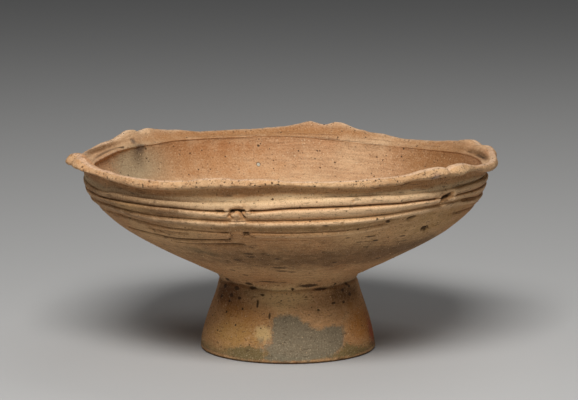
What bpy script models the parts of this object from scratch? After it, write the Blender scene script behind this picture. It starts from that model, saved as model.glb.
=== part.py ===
"""Pedestal dish of fired earthenware: a wide shallow bowl with a scalloped rim, on a flared hollow foot.

Metres, +Z up, at rest on its foot. The origin is on the ground in the middle of the plan. Azimuths are in
degrees, counted from the front (-Y) towards the right (+X). The bowl and the foot were built up and smoothed
as one body of clay, so the dish is one solid: one closed wall swept round the axis, from the middle of the
bowl's floor, over the rim, down the outside and up into the hollow of the foot.
"""

import math

import bmesh
import bpy
from mathutils import Vector

# Foot
FOOT_HEIGHT = 0.042  # ground to the waist, where the foot meets the bowl
FOOT_RADIUS = 0.0512  # outside, on the ground
WAIST_RADIUS = 0.0401  # outside, at the waist
FOOT_WALL = 0.0068
FOOT_EDGE = 0.0013  # rounding of the bottom ring's two edges
WAIST_HANDLE = (0.21, 0.69)  # curve's handle under the waist: shares of the foot's flare and height
BASE_HANDLE = (0.94, 0.36)  # curve's handle over the ground

# Bowl
BOWL_RISE = 0.0706  # waist to the crest of the rim
BOWL_RADIUS = 0.1189  # middle of the outside wall's relief, under the lip
BOWL_WALL = 0.0056
BOWL_LEAN = -0.001  # sideways shift of the mouth over the foot
JOIN_SPREAD = 0.0009  # the bowl meets the foot this far outside the waist
JOIN_RISE = 0.0028  # and this far above it
JOIN_HANDLE = (0.57, 0.35)  # curve's handle out from the join: shares of the bowl's width and rise
BOWL_FULLNESS = 0.575  # share of the rise above which the wall is drawn up straight

# Rim, lip and the ledge inside it
LIP_HEIGHT = 0.0052
LIP_THICKNESS = 0.0052
LIP_OVERHANG = 0.0038  # how far the lip stands out from the wall
NECK_HEIGHT = 0.0047  # plain band under the lip
NECK_DEPTH = 0.0016
LEDGE_DROP = 0.0052  # crest of the rim to the ledge
LEDGE_RELIEF = 0.0012  # depth of the recess over the ledge
LEDGE_NOSE = 0.0006  # how far the ledge stands in from the wall

# The lip's section, from its inner edge to its crest and its outer shoulder. Each row: how far out from the
# lip's back, as a share of its thickness; how far under the crest, as a share of its height; the share of a
# lug's reach that it takes; and the share of a lug's rise that it gives up.
LIP_SECTION = (
    (-0.1, 0.42, 0.1, 0.5),
    (0.12, 0.13, 0.2, 0.1),
    (0.6, 0.0, 0.5, 0.0),
    (0.88, 0.16, 0.8, 0.1),
)
LIP_NOSE = 0.48  # share of the lip's height from the crest to its farthest point
LIP_CHIN = (0.12, 0.8, 0.85, 0.4)  # in from the nose, down from the crest, and shares of reach and nose's rise
LIP_ROOT = (0.5, 0.4)  # in from the nose, and share of reach
LIP_PULL = 0.35  # share of a lug's rise that lifts the lip's lower edge

# A ridge's section: shares of its height down from its top, and of its relief
RIDGE_SECTION = ((0.1, 0.5), (0.4, 1.0))
SHOULDER = 0.5  # share of the relief left at a groove's upper edge

# Ridges round the outside, from the top down, each with a groove under it
UPPER_RIDGE = 0.0043
MIDDLE_RIDGE = 0.0061
LOWER_RIDGE = 0.0064
RIDGE_RELIEF = 0.0007
GROOVE_DEPTH = 0.0014
GROOVE_WIDTH = 0.0016
PIT_DEPTH = 0.0022  # pressed into the upper groove under each lug

# Two finer lines under the ridges, on the left half only
FIRST_LINE_DROP = 0.0063  # lower groove to the first line
SECOND_LINE_DROP = 0.0033
LINE_DEPTH = 0.0008
LINE_WIDTH = 0.0012
LINES_FROM = 196.0
LINES_TO = 345.0

# Lugs: pairs of flattened knobs on the rim, each pair with a notch in it
KNOB_OFFSET = 4.2  # degrees from the notch to a knob's crest
LUG_SPREAD = 11.0  # degrees from the notch to where the swell of the rim fades
NOTCH_SPREAD = 1.8  # degrees
NOTCH_SHARE = 0.45  # how much of the reach the notch takes away
GROOVE_STOP = 5.0  # degrees from the notch to where the grooves stop

# One row for each lug, as the hand left it: azimuth, rise of the first and second knob, depth of the notch,
# reach beyond the lip, share of the rise that the knob's nose takes, and the rim's lift midway to the next lug.
LUGS = (
    (347.5, 0.0030, 0.0033, 0.0005, 0.0008, 0.5, 0.0027),
    (47.5, 0.0050, 0.0054, 0.0022, 0.0036, 0.4, 0.0006),
    (109.0, 0.0056, 0.0048, 0.0012, 0.0062, 0.1, -0.0012),
    (169.5, 0.0061, 0.0060, 0.0018, 0.0016, 0.5, 0.0012),
    (229.0, 0.0051, 0.0056, 0.0011, 0.0022, 0.5, -0.0005),
    (288.0, 0.0078, 0.0062, 0.0018, 0.0078, 0.75, 0.0),
)

# Divisions round the axis
LUG_STEP = 2.0  # degrees, beside a lug
LUG_STEPS = 5  # on each side of the notch
SPAN_STEPS = 7  # between one lug and the next

# Divisions along the wall, as shares of each curve. The bowl's run from its middle (-1) past the join (0).
INNER_STATIONS = (-1.0, -0.72, -0.4, 0.0, 0.2, 0.4, 0.6, 0.78, 0.92)
LOWER_STATIONS = (0.8, 0.6, 0.4, 0.2, 0.06)
FOOT_STATIONS = (0.0, 0.16, 0.34, 0.52, 0.7, 0.86)
CEILING_STATIONS = (0.9, 0.5, 0.0)

EARTHENWARE = (0.456, 0.242, 0.127, 1.0)
ROUGHNESS = 0.82
SHARP_EDGE = math.radians(50.0)

# Worked out from the sizes above
RIM_HEIGHT = FOOT_HEIGHT + BOWL_RISE
LIP_FOOT = RIM_HEIGHT - LIP_HEIGHT
NECK_FOOT = LIP_FOOT - NECK_HEIGHT
UPPER_GROOVE = NECK_FOOT - UPPER_RIDGE
MIDDLE_GROOVE = UPPER_GROOVE - MIDDLE_RIDGE
LOWER_GROOVE = MIDDLE_GROOVE - LOWER_RIDGE
FIRST_LINE = LOWER_GROOVE - FIRST_LINE_DROP
SECOND_LINE = FIRST_LINE - SECOND_LINE_DROP
JOIN_RADIUS = WAIST_RADIUS + JOIN_SPREAD
JOIN_HEIGHT = FOOT_HEIGHT + JOIN_RISE
LIP_RADIUS = BOWL_RADIUS + LIP_OVERHANG


def bezier(points, share):
    """The point at this share, 0 to 1, of a cubic curve through four control points."""
    rest = 1.0 - share
    weights = (rest**3, 3 * rest**2 * share, 3 * rest * share**2, share**3)
    radius = sum(weight * point[0] for weight, point in zip(weights, points))
    height = sum(weight * point[1] for weight, point in zip(weights, points))
    return radius, height


def bowl_curve(share):
    """The outside of the bowl without its relief, from the join (0) to the foot of the lip (1)."""
    width = BOWL_RADIUS - JOIN_RADIUS
    rise = LIP_FOOT - JOIN_HEIGHT
    controls = (
        (JOIN_RADIUS, JOIN_HEIGHT),
        (JOIN_RADIUS + JOIN_HANDLE[0] * width, JOIN_HEIGHT + JOIN_HANDLE[1] * rise),
        (BOWL_RADIUS, JOIN_HEIGHT + BOWL_FULLNESS * rise),
        (BOWL_RADIUS, LIP_FOOT),
    )
    return bezier(controls, share)


def bowl_share(height):
    """The share of the bowl's curve that lies at this height, by halving."""
    low, high = 0.0, 1.0
    for _ in range(40):
        middle = (low + high) / 2
        if bowl_curve(middle)[1] < height:
            low = middle
        else:
            high = middle
    return low


def bowl_radius(height):
    return bowl_curve(bowl_share(height))[0]


def bowl_bottom(radius):
    """Height of the bowl's underside inside the join: a dish that carries the bowl's slope on to level."""
    start, after = bowl_curve(0.0), bowl_curve(0.001)
    slope = (after[1] - start[1]) / (after[0] - start[0])
    return JOIN_HEIGHT - slope * JOIN_RADIUS / 2 * (1 - (radius / JOIN_RADIUS) ** 2)


def underside(distance):
    """The whole outside of the bowl from its middle (-1), past the join (0), to the foot of the lip (1)."""
    if distance < 0:
        radius = JOIN_RADIUS * (1 + distance)
        return radius, bowl_bottom(radius)
    return bowl_curve(distance)


def inside(distance):
    """The point of the bowl's inside that lies one wall's thickness over the underside."""
    step = 0.002
    before = underside(max(distance - step, -1.0))
    after = underside(min(distance + step, 1.0))
    along = Vector((after[0] - before[0], after[1] - before[1])).normalized()
    radius, height = underside(distance)
    return radius - along.y * BOWL_WALL, height + along.x * BOWL_WALL


def turn_from(azimuth, centre):
    """Degrees from centre to azimuth, between -180 and 180."""
    return (azimuth - centre + 180.0) % 360.0 - 180.0


def nearest_lug(azimuth):
    return min(LUGS, key=lambda lug: abs(turn_from(azimuth, lug[0])))


def rim_lift(azimuth):
    """How far the rim's line stands over its nominal height: it eases from each span's middle to the next."""
    for index, lug in enumerate(LUGS):
        following = LUGS[(index + 1) % len(LUGS)]
        past = LUGS[(index + 2) % len(LUGS)]
        first = turn_from(following[0], lug[0]) / 2
        second = turn_from(past[0], following[0]) / 2
        along = turn_from(azimuth, lug[0] + first) / (first + second)
        if 0.0 <= along < 1.0:
            ease = along * along * (3 - 2 * along)
            return lug[6] + (following[6] - lug[6]) * ease
    raise ValueError(azimuth)


def lug_swell(azimuth):
    """Share of a lug's full size here: 1 at its knobs, fading away from them."""
    turn = abs(turn_from(azimuth, nearest_lug(azimuth)[0]))
    return math.exp(-((turn / LUG_SPREAD) ** 2.2))


def lug_rise(azimuth):
    """How far the crest stands over the rim's line: two knobs with a notch between."""
    centre, first, second, notch = nearest_lug(azimuth)[:4]
    turn = turn_from(azimuth, centre)
    lean = (1 + math.tanh(turn / KNOB_OFFSET)) / 2
    knob = first + (second - first) * lean
    return knob * lug_swell(azimuth) - notch * math.exp(-((turn / NOTCH_SPREAD) ** 2))


def lug_reach(azimuth):
    """How far the knobs stand out beyond the lip."""
    lug = nearest_lug(azimuth)
    turn = turn_from(azimuth, lug[0])
    notch = NOTCH_SHARE * math.exp(-((turn / NOTCH_SPREAD) ** 2))
    return lug[4] * (lug_swell(azimuth) - notch)


def groove_share(azimuth):
    """1 where a groove runs at its full depth, 0 where it stops beside a lug."""
    turn = abs(turn_from(azimuth, nearest_lug(azimuth)[0]))
    return min(max((turn - GROOVE_STOP) / LUG_STEP + 1, 0.0), 1.0)


def pit_share(azimuth):
    """1 in the pit under a lug's notch, 0 beside it."""
    turn = abs(turn_from(azimuth, nearest_lug(azimuth)[0]))
    return max(1 - turn / LUG_STEP, 0.0)


def line_share(azimuth):
    """1 where a fine line runs at its full depth."""
    inside_run = LINES_FROM <= azimuth % 360.0 <= LINES_TO
    return groove_share(azimuth) if inside_run else 0.0


def lifted(radius, height, lift):
    """A point of the wall, moved up by its share of the rim's lift: all of it at the neck, none low down."""
    share = (height - SECOND_LINE) / (NECK_FOOT - SECOND_LINE)
    return radius, height + lift * min(max(share, 0.0), 1.0)


def inner_wall(lift):
    """From the middle of the floor to just under the ledge."""
    return [lifted(*inside(share), lift) for share in INNER_STATIONS]


def rim(azimuth, lift):
    """The ledge, the recess over it, the lip and the lugs that grow out of it."""
    reach = lug_reach(azimuth)
    rise = lug_rise(azimuth)
    nose = rise * nearest_lug(azimuth)[5]
    ledge = RIM_HEIGHT - LEDGE_DROP + lift
    wall = inside(1.0)[0]
    points = [
        (wall, ledge - 2 * LEDGE_RELIEF),
        (wall - LEDGE_NOSE, ledge),
        (wall + LEDGE_RELIEF, ledge + LEDGE_RELIEF),
    ]
    crest = RIM_HEIGHT + lift + rise
    for out, down, share, given in LIP_SECTION:
        radius = LIP_RADIUS - (1 - out) * LIP_THICKNESS + share * reach
        points.append((radius, crest - down * LIP_HEIGHT - given * rise))
    line_height = RIM_HEIGHT + lift
    points.append((LIP_RADIUS + reach, line_height - LIP_NOSE * LIP_HEIGHT + nose))
    back, down, share, raised = LIP_CHIN
    pull = LIP_PULL * max(rise, 0.0)
    radius = LIP_RADIUS - back * LIP_THICKNESS + share * reach
    points.append((radius, line_height - down * LIP_HEIGHT + pull + raised * nose))
    back, share = LIP_ROOT
    points.append((LIP_RADIUS - back * LIP_THICKNESS + share * reach, LIP_FOOT + lift + pull))
    return points


def neck(lift):
    """The plain hollow band between the lip and the ridges."""
    inset = NECK_HEIGHT / 6
    heights = (LIP_FOOT - inset, NECK_FOOT + inset)
    return [lifted(bowl_radius(height) - NECK_DEPTH, height, lift) for height in heights]


def ridge(top, groove, lift, share, pit=0.0):
    """A rounded ridge from its top to the groove under it. share is how much of the groove is there."""
    edge = groove + GROOVE_WIDTH / 2
    depth = GROOVE_DEPTH * share + PIT_DEPTH * pit
    profile = [(top - down * (top - groove), relief * RIDGE_RELIEF) for down, relief in RIDGE_SECTION]
    profile += [(edge, SHOULDER * RIDGE_RELIEF), (groove, -depth)]
    return [lifted(bowl_radius(height) + relief, height, lift) for height, relief in profile]


def line(height, lift, share):
    """A fine line scored in the wall, as its upper edge, its bottom and its lower edge."""
    above = height + LINE_WIDTH / 2
    below = height - LINE_WIDTH / 2
    return [
        lifted(bowl_radius(above), above, lift),
        lifted(bowl_radius(height) - LINE_DEPTH * share, height, lift),
        lifted(bowl_radius(below), below, lift),
    ]


def outer_wall(azimuth, lift):
    """The neck, the three ridges and the two fine lines."""
    share = groove_share(azimuth)
    points = neck(lift)
    points += ridge(NECK_FOOT, UPPER_GROOVE, lift, share, pit_share(azimuth))
    points += ridge(UPPER_GROOVE, MIDDLE_GROOVE, lift, share)
    points += ridge(MIDDLE_GROOVE, LOWER_GROOVE, lift, share)
    below = LOWER_GROOVE - GROOVE_WIDTH / 2
    points.append(lifted(bowl_radius(below), below, lift))
    points += line(FIRST_LINE, lift, line_share(azimuth))
    points += line(SECOND_LINE, lift, line_share(azimuth))
    return points


def lower_wall():
    """From the lines down to the join with the foot."""
    start = bowl_share(SECOND_LINE - LINE_WIDTH / 2)
    return [bowl_curve(start * share) for share in LOWER_STATIONS]


def foot_curve(share):
    """The outside of the foot, from the waist (0) to the ground (1)."""
    flare = FOOT_RADIUS - WAIST_RADIUS
    controls = (
        (WAIST_RADIUS, FOOT_HEIGHT),
        (WAIST_RADIUS + WAIST_HANDLE[0] * flare, WAIST_HANDLE[1] * FOOT_HEIGHT),
        (WAIST_RADIUS + BASE_HANDLE[0] * flare, BASE_HANDLE[1] * FOOT_HEIGHT),
        (FOOT_RADIUS, 0.0),
    )
    return bezier(controls, share)


def foot():
    """Down the outside, under the bottom ring, and up the hollow to the underside of the bowl."""
    outside = [foot_curve(share) for share in FOOT_STATIONS]
    hollow = [(radius - FOOT_WALL, height) for radius, height in reversed(outside[1:])]
    inner_edge = FOOT_RADIUS - FOOT_WALL
    ring = [
        (FOOT_RADIUS, FOOT_EDGE),
        (FOOT_RADIUS - FOOT_EDGE, 0.0),
        (inner_edge + FOOT_EDGE, 0.0),
        (inner_edge, FOOT_EDGE),
    ]
    reach = WAIST_RADIUS - FOOT_WALL
    ceiling = [(reach * share, bowl_bottom(reach * share)) for share in CEILING_STATIONS]
    return outside + ring + hollow + ceiling


def section(azimuth):
    """The wall's points at this azimuth, and how many of the first and of the last lie on coarse rings."""
    lift = rim_lift(azimuth)
    inner = inner_wall(lift)
    below = lower_wall() + foot()
    points = inner + rim(azimuth, lift) + outer_wall(azimuth, lift) + below
    return points, len(inner) - 1, len(below)


def azimuths():
    """Close together beside the lugs, wider apart between them."""
    found = []
    for index, lug in enumerate(LUGS):
        following = LUGS[(index + 1) % len(LUGS)]
        for step in range(-LUG_STEPS, LUG_STEPS):
            found.append(lug[0] + step * LUG_STEP)
        start = lug[0] + LUG_STEPS * LUG_STEP
        gap = turn_from(following[0], lug[0]) - 2 * LUG_STEPS * LUG_STEP
        for step in range(SPAN_STEPS):
            found.append(start + gap * step / SPAN_STEPS)
    return found


def place(azimuth, radius, height):
    """The point in the dish's own frame. The bowl leans off the foot's axis as it rises."""
    lean = BOWL_LEAN * max(height - FOOT_HEIGHT, 0.0) / BOWL_RISE
    angle = math.radians(azimuth)
    return Vector((radius * math.sin(angle) + lean, -radius * math.cos(angle), height))


def join_rings(mesh, upper, lower):
    """Faces between two rings of points. One ring may be a single point, or have half the other's points."""
    if len(upper) == len(lower):
        for index in range(len(upper)):
            mesh.faces.new((upper[index - 1], upper[index], lower[index], lower[index - 1]))
        return
    many, few = sorted((upper, lower), key=len, reverse=True)
    for index, point in enumerate(many):
        after = many[(index + 1) % len(many)]
        apex = few[(index + 1) // 2 % len(few)]
        mesh.faces.new((point, after, apex))
        if index % 2 and len(few) > 1:
            mesh.faces.new((point, few[index // 2], apex))


def clear_scene():
    for obj in list(bpy.data.objects):
        bpy.data.objects.remove(obj, do_unlink=True)


def earthenware():
    material = bpy.data.materials.new("earthenware")
    material.use_nodes = True
    shader = material.node_tree.nodes["Principled BSDF"]
    shader.inputs["Base Color"].default_value = EARTHENWARE
    shader.inputs["Roughness"].default_value = ROUGHNESS
    shader.inputs["Metallic"].default_value = 0.0
    return material


def wall_mesh():
    """The wall as one closed mesh, swept round the axis."""
    mesh = bmesh.new()
    turns = azimuths()
    sections = [section(azimuth) for azimuth in turns]
    first_coarse, last_coarse = sections[0][1:]
    count = len(sections[0][0])
    rings = []
    for station in range(count):
        step = 1 if first_coarse <= station < count - last_coarse else 2
        if station in (0, count - 1):
            step = len(turns)
        places = [place(turns[i], *sections[i][0][station]) for i in range(0, len(turns), step)]
        rings.append([mesh.verts.new(point) for point in places])
    for upper, lower in zip(rings, rings[1:]):
        join_rings(mesh, upper, lower)
    bmesh.ops.recalc_face_normals(mesh, faces=mesh.faces)
    return mesh


def centre_plan(mesh):
    """Moves the mesh so that the middle of its plan is over the origin."""
    for axis in (0, 1):
        values = [vertex.co[axis] for vertex in mesh.verts]
        shift = Vector((0.0, 0.0, 0.0))
        shift[axis] = -(min(values) + max(values)) / 2
        bmesh.ops.translate(mesh, vec=shift, verts=mesh.verts)


def pedestal_dish():
    mesh = wall_mesh()
    centre_plan(mesh)
    data = bpy.data.meshes.new("pedestal_dish")
    mesh.to_mesh(data)
    mesh.free()
    data.shade_smooth()
    data.set_sharp_from_angle(angle=SHARP_EDGE)
    data.materials.append(earthenware())
    dish = bpy.data.objects.new("pedestal_dish", data)
    bpy.context.scene.collection.objects.link(dish)
    return dish


def main():
    clear_scene()
    pedestal_dish()


main()
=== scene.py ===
"""The pedestal dish as it looks: one body of hand-built earthenware round its frame, with a plain stage."""
import math

import bpy
import numpy as np
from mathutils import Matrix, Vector


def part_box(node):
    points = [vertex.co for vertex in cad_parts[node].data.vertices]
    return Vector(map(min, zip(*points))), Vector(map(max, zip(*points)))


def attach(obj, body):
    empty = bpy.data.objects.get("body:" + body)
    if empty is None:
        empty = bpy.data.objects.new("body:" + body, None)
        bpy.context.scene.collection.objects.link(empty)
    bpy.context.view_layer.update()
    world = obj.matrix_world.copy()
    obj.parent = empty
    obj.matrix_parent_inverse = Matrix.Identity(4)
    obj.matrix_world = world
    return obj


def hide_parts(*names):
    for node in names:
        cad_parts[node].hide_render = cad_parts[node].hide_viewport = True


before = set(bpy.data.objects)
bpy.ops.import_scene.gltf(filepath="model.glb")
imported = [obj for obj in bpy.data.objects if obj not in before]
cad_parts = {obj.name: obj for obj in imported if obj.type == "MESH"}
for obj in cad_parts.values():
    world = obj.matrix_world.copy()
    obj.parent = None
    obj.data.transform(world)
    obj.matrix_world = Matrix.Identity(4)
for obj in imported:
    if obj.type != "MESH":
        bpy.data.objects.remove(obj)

bl_info = {
    "name": "Pedestal dish",
    "version": (1, 0, 0),
    "blender": (4, 5, 0),
    "location": "3D View > Sidebar > Pedestal Dish",
    "description": "Builds a hand-made earthenware pedestal dish with its surface, and a plain stage for it",
    "category": "Add Mesh",
}

MM = 0.001
NODE = "pedestal_dish"

# Lengths are in millimetres and angles in degrees, unless a comment says otherwise

# Heights, radii and walls of the dish
FOOT_HEIGHT = 42.0
FOOT_RADIUS = 51.2
WAIST_RADIUS = 40.1
FOOT_WALL = 6.8
FOOT_EDGE = 1.3
BOWL_RISE = 70.6
BOWL_RADIUS = 118.9
BOWL_WALL = 5.6
BOWL_LEAN = -1.0
JOIN_SPREAD = 0.9
JOIN_RISE = 2.8
LIP_HEIGHT = 5.2
LIP_THICKNESS = 5.2
LIP_OVERHANG = 3.8
LEDGE_DROP = 5.2

# Handles of the curves of the foot and the bowl, as shares of their width and height
WAIST_HANDLE = (0.21, 0.69)
BASE_HANDLE = (0.94, 0.36)
JOIN_HANDLE = (0.57, 0.35)
BOWL_FULLNESS = 0.575

# What follows from them, and the heights of the lines round the outside
RIM_HEIGHT = FOOT_HEIGHT + BOWL_RISE
LIP_FOOT = RIM_HEIGHT - LIP_HEIGHT
NECK_FOOT = 102.7
UPPER_GROOVE = 98.4
MIDDLE_GROOVE = 92.3
LOWER_GROOVE = 85.9
FIRST_LINE = 79.6
SECOND_LINE = 76.3
RELIEF_END = 73.5
JOIN_RADIUS = WAIST_RADIUS + JOIN_SPREAD
JOIN_HEIGHT = FOOT_HEIGHT + JOIN_RISE
LIP_RADIUS = BOWL_RADIUS + LIP_OVERHANG

# Lugs: azimuth, reach, share of the rise that the nose takes, and the rim's lift midway to the next lug.
# Azimuths are in degrees from the front towards the right.
LUGS = (
    (347.5, 0.8, 0.5, 2.7),
    (47.5, 3.6, 0.4, 0.6),
    (109.0, 6.2, 0.1, -1.2),
    (169.5, 1.6, 0.5, 1.2),
    (229.0, 2.2, 0.5, -0.5),
    (288.0, 7.8, 0.75, 0.0),
)
LUG_SPREAD = 11.0
NOTCH_SPREAD = 1.8
NOTCH_SHARE = 0.45
# Places on the rim, as azimuth and spread: where a cord of clay lies along the ledge, where the lip is
# roughest, where the tool bit deeper on the left, and where the neck is full under the left-hand lug
CORD = (252.0, 17.0)
ROUGH_LIP = (347.0, 7.0)
DEEP_LEFT = (318.0, 22.0)
FULL_NECK = (272.0, 20.0)

# Roughness, as the height and the width of its lumps. On the wall the heights are shares of the unevenness.
WALL_ROUGHNESS = ((1.0, 38.0), (0.45, 11.0), (0.16, 3.2))
LIP_ROUGHNESS = (0.24, 2.0)
CORD_ROUGHNESS = (0.5, 1.7)

# The mesh: its columns round the dish, the azimuths of the two pits where they are closest, and the radius in
# metres of the drum that the wall's own coordinates are wound on
COLUMN_COUNT = 656
PIT_AZIMUTHS = (347.5, 48.0)
SWEEP_RADIUS = 0.1
# How far, in metres, the clay and its grains stay inside the frame's box
BOX_MARGIN = 2e-5
GRAIN_MARGIN = 1.5 * MM

# The crest of the rim as the hand left it: azimuth, height
CREST = (
    (0, 115.8), (6, 115.5), (11, 115.1), (19, 115.2), (24, 115.8), (30, 116.1), (33, 116.5), (36, 117.6),
    (40, 118.6), (43, 118.9), (45, 118.4), (46.8, 116.9), (48.6, 118.3), (51, 118.9), (53.5, 118.6),
    (56, 117.6), (59, 116.2), (62, 115.2), (70, 113.9), (78, 113.2), (86, 112.9), (92, 113.0), (96, 113.4),
    (99.5, 114.0), (102, 114.2), (105, 114.5), (107.5, 114.4), (109.5, 113.8), (111.3, 113.5),
    (113, 114.5), (114.8, 115.5), (117, 115.0), (121, 113.4), (126, 112.1), (130, 111.1), (136, 110.3),
    (142, 110.0), (147, 111.1), (150, 111.9), (154, 112.3), (156.5, 113.3), (159.5, 114.6), (161.5, 116.1),
    (163.2, 117.3), (164.9, 117.7), (166.8, 116.8), (168.8, 115.9), (170.8, 116.9), (173.1, 118.0),
    (175, 117.2), (177, 116.1), (179, 115.3), (182, 114.5), (187, 113.7), (191, 113.1), (197, 113.0),
    (202, 112.9), (207, 113.0), (210, 113.9), (214, 115.0), (218, 115.7), (222, 116.8), (225, 117.7),
    (227, 117.1), (228.8, 116.7), (230.4, 117.9), (232, 118.2), (234, 117.6), (236, 116.3), (241, 114.1),
    (247, 113.5), (254, 112.2), (262, 111.9), (268, 112.1), (273, 112.7), (277, 113.7), (280, 115.5),
    (282.5, 117.9), (285, 118.95), (288, 118.95), (290, 118.3), (292, 118.3), (294, 117.0),
    (296.5, 115.4), (299, 114.4), (303, 113.9), (306, 113.5), (311, 112.9), (318, 112.6), (325, 112.8),
    (332, 113.8), (337, 115.3), (340, 116.1), (343, 116.7), (345.5, 116.6), (348, 116.3), (351, 116.7),
    (353, 117.0), (356, 116.9), (358, 116.5),
)

# How far each line round the outside strays from its even run: azimuth, millimetres up
LIP_FOOT_STRAY = (
    (1, 3.2), (5, 2.6), (8, 2.2), (16, 1.1), (21, 0.7), (27, 1.4), (30, 1.3), (33, 2.5), (36, 3.1),
    (40, 3.2), (47, 4.3), (51, 3.2), (56, 4.4), (62, 3.9), (72, 0.8), (85, 0.2), (100, 1.2), (109, 1.9),
    (120, 1.0), (135, 0.2), (158, 0.8), (169, 2.1), (182, 0.9), (200, 0.1), (218, 0.9), (229, 1.9),
    (240, 0.8), (258, 0.6), (266, 1.8), (275, 2.8), (288, 4.1), (294, 3.6), (301, 2.3), (306, 1.4),
    (311, 0.8), (319, 0.1), (328, 0.9), (337, 2.3), (345, 3.1), (351, 3.1), (356, 3.8),
)
NECK_FOOT_STRAY = (
    (2, 0.3), (12, 0.6), (20, 0.3), (26, 0.4), (32, -0.2), (39, -0.2), (43, -0.4), (52, 0.4), (63, 0.7),
    (68, 1.0), (76, 1.0), (90, 0.2), (110, -0.4), (140, 0.3), (165, -0.3), (195, 0.2), (225, 0.4),
    (255, -0.2), (280, -0.6), (298, -2.4), (305, -1.2), (318, -1.6), (328, -1.6), (338, -1.3), (349, -1.0),
    (356.4, -0.5), (359, -0.2),
)
UPPER_GROOVE_STRAY = (
    (2, -0.1), (15, -0.0), (24, 0.1), (30, -0.1), (41, 0.6), (53, 0.6), (59, 0.8), (66, 0.7), (80, 0.9),
    (95, 0.1), (120, -0.3), (150, 0.3), (180, -0.2), (210, 0.3), (240, 0.2), (265, -0.4), (285, -1.2),
    (295, -1.4), (308, -0.9), (316, -0.4), (328, -0.3), (337, -1.2), (343, -1.4), (348, -1.1), (351, -1.1),
    (359, -0.3),
)
MIDDLE_GROOVE_STRAY = (
    (2, -0.7), (15.5, -0.4), (27, 0.2), (36, 1.6), (43, 2.5), (57, 3.3), (72, 1.5), (85, 0.6), (110, 0.0),
    (140, 0.4), (170, -0.3), (205, 0.2), (235, -0.3), (265, 0.1), (285, -0.2), (299, 0.5), (311, -0.1),
    (320, -0.5), (330, -0.4), (342, -0.7), (351, -0.5), (356, -0.7), (359, -0.6),
)
LOWER_GROOVE_STRAY = (
    (2, -1.6), (13, -1.2), (22, 0.0), (29, 1.6), (40, 2.4), (60, 1.6), (80, 0.6), (115, -0.2), (150, 0.3),
    (185, -0.3), (220, 0.3), (255, 0.0), (285, 1.0), (301, 1.4), (313, 0.4), (325, -1.1), (332, -1.2),
    (338, -1.6), (341, -1.6), (347.3, -1.1), (359, -1.6),
)
FIRST_LINE_STRAY = (
    (180, 0.0), (290, 0.6), (308, -0.9), (318, -1.3), (322, -1.7), (333, -0.8), (343, 0.4), (359, 0.6),
)
SECOND_LINE_STRAY = (
    (180, 0.0), (300, 0.3), (305, -0.4), (316, -0.6), (322, -1.2), (328, -1.4), (336, -0.4), (339, 0.2),
    (343, 0.6), (346, 0.6), (359, 0.8),
)
LEDGE_STRAY = (
    (20, 0.0), (60, 0.2), (88, 1.6), (97, 1.4), (112, 1.5), (122, 0.8), (130, 0.2), (142, -0.1),
    (154, -0.5), (160, 0.0), (165, 0.5), (171, 1.1), (187, 1.3), (197, 0.9), (204, 1.0), (217, 1.7),
    (226, 1.4), (232, 1.8), (240, 2.4), (246, 2.3), (251, 1.8), (258, 1.2), (264, 0.8), (276, 0.2),
    (300, 0.0), (340, 0.2),
)

# Where each groove runs, as (start, end) in azimuth. The hand lifted the tool beside every lug.
UPPER_RUNS = ((350.3, 44.9), (54.3, 103.5), (114.5, 163.8), (175.0, 223.4), (234.5, 281.5), (286.5, 343.2))
MIDDLE_RUNS = ((349.6, 48.0), (59.0, 104.0), (113.5, 344.2))
LOWER_RUNS = ((349.6, 30.0), (58.0, 103.0), (116.0, 162.5), (176.0, 222.0), (236.0, 343.2))
FIRST_RUNS = ((200.0, 224.0), (236.0, 282.0), (300.0, 342.6))
SECOND_RUNS = ((204.0, 222.0), (238.0, 280.0), (320.0, 346.6))


def linear(digits):
    """A colour written as sRGB hex digits, as the linear numbers that shaders take."""
    parts = [int(digits[i : i + 2], 16) / 255 for i in (1, 3, 5)]
    return tuple(c / 12.92 if c <= 0.04045 else ((c + 0.055) / 1.055) ** 2.4 for c in parts) + (1.0,)


def length(name, description, millimetres):
    """A length that a user may set, with its default in millimetres."""
    size = millimetres * MM
    return bpy.props.FloatProperty(
        name=name, description=description, default=size, min=0.0, subtype="DISTANCE", unit="LENGTH"
    )


def power(name, description, watts):
    """The power of a light, which a user may set."""
    return bpy.props.FloatProperty(
        name=name, description=description, default=watts, min=0.0, subtype="POWER", unit="POWER"
    )


def colour(name, description, digits):
    """A colour that a user may set, with its default as sRGB hex digits."""
    tint = linear(digits)
    return bpy.props.FloatVectorProperty(
        name=name, description=description, default=tint, size=4, min=0.0, max=1.0, subtype="COLOR"
    )


class DishSizes(bpy.types.PropertyGroup):
    """Sizes of the relief and of the temper."""

    neck_depth: length("Neck depth", "How far the plain band under the lip is hollowed", 1.8)
    ridge_relief: length("Ridge relief", "How far the ridges stand out", 1.45)
    groove_depth: length("Groove depth", "Depth of the upper groove between two ridges", 1.5)
    groove_width: length("Groove width", "Width of the upper groove at half its depth", 0.85)
    line_depth: length("Line depth", "Depth of the fine lines under the ridges", 1.5)
    ledge_relief: length("Ledge relief", "Depth of the recess over the ledge inside the rim", 0.9)
    unevenness: length("Unevenness", "How far the hand-smoothed wall strays from its true curve", 0.35)
    grain_size: length("Grain size", "Diameter of a typical grain of temper in the surface", 0.75)
    grain_count: bpy.props.IntProperty(
        name="Grains", description="Grains of temper that show in the surface", default=2000, min=0
    )
    seed: bpy.props.IntProperty(name="Seed", description="Seed of all that is random", default=7, min=0)


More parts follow.
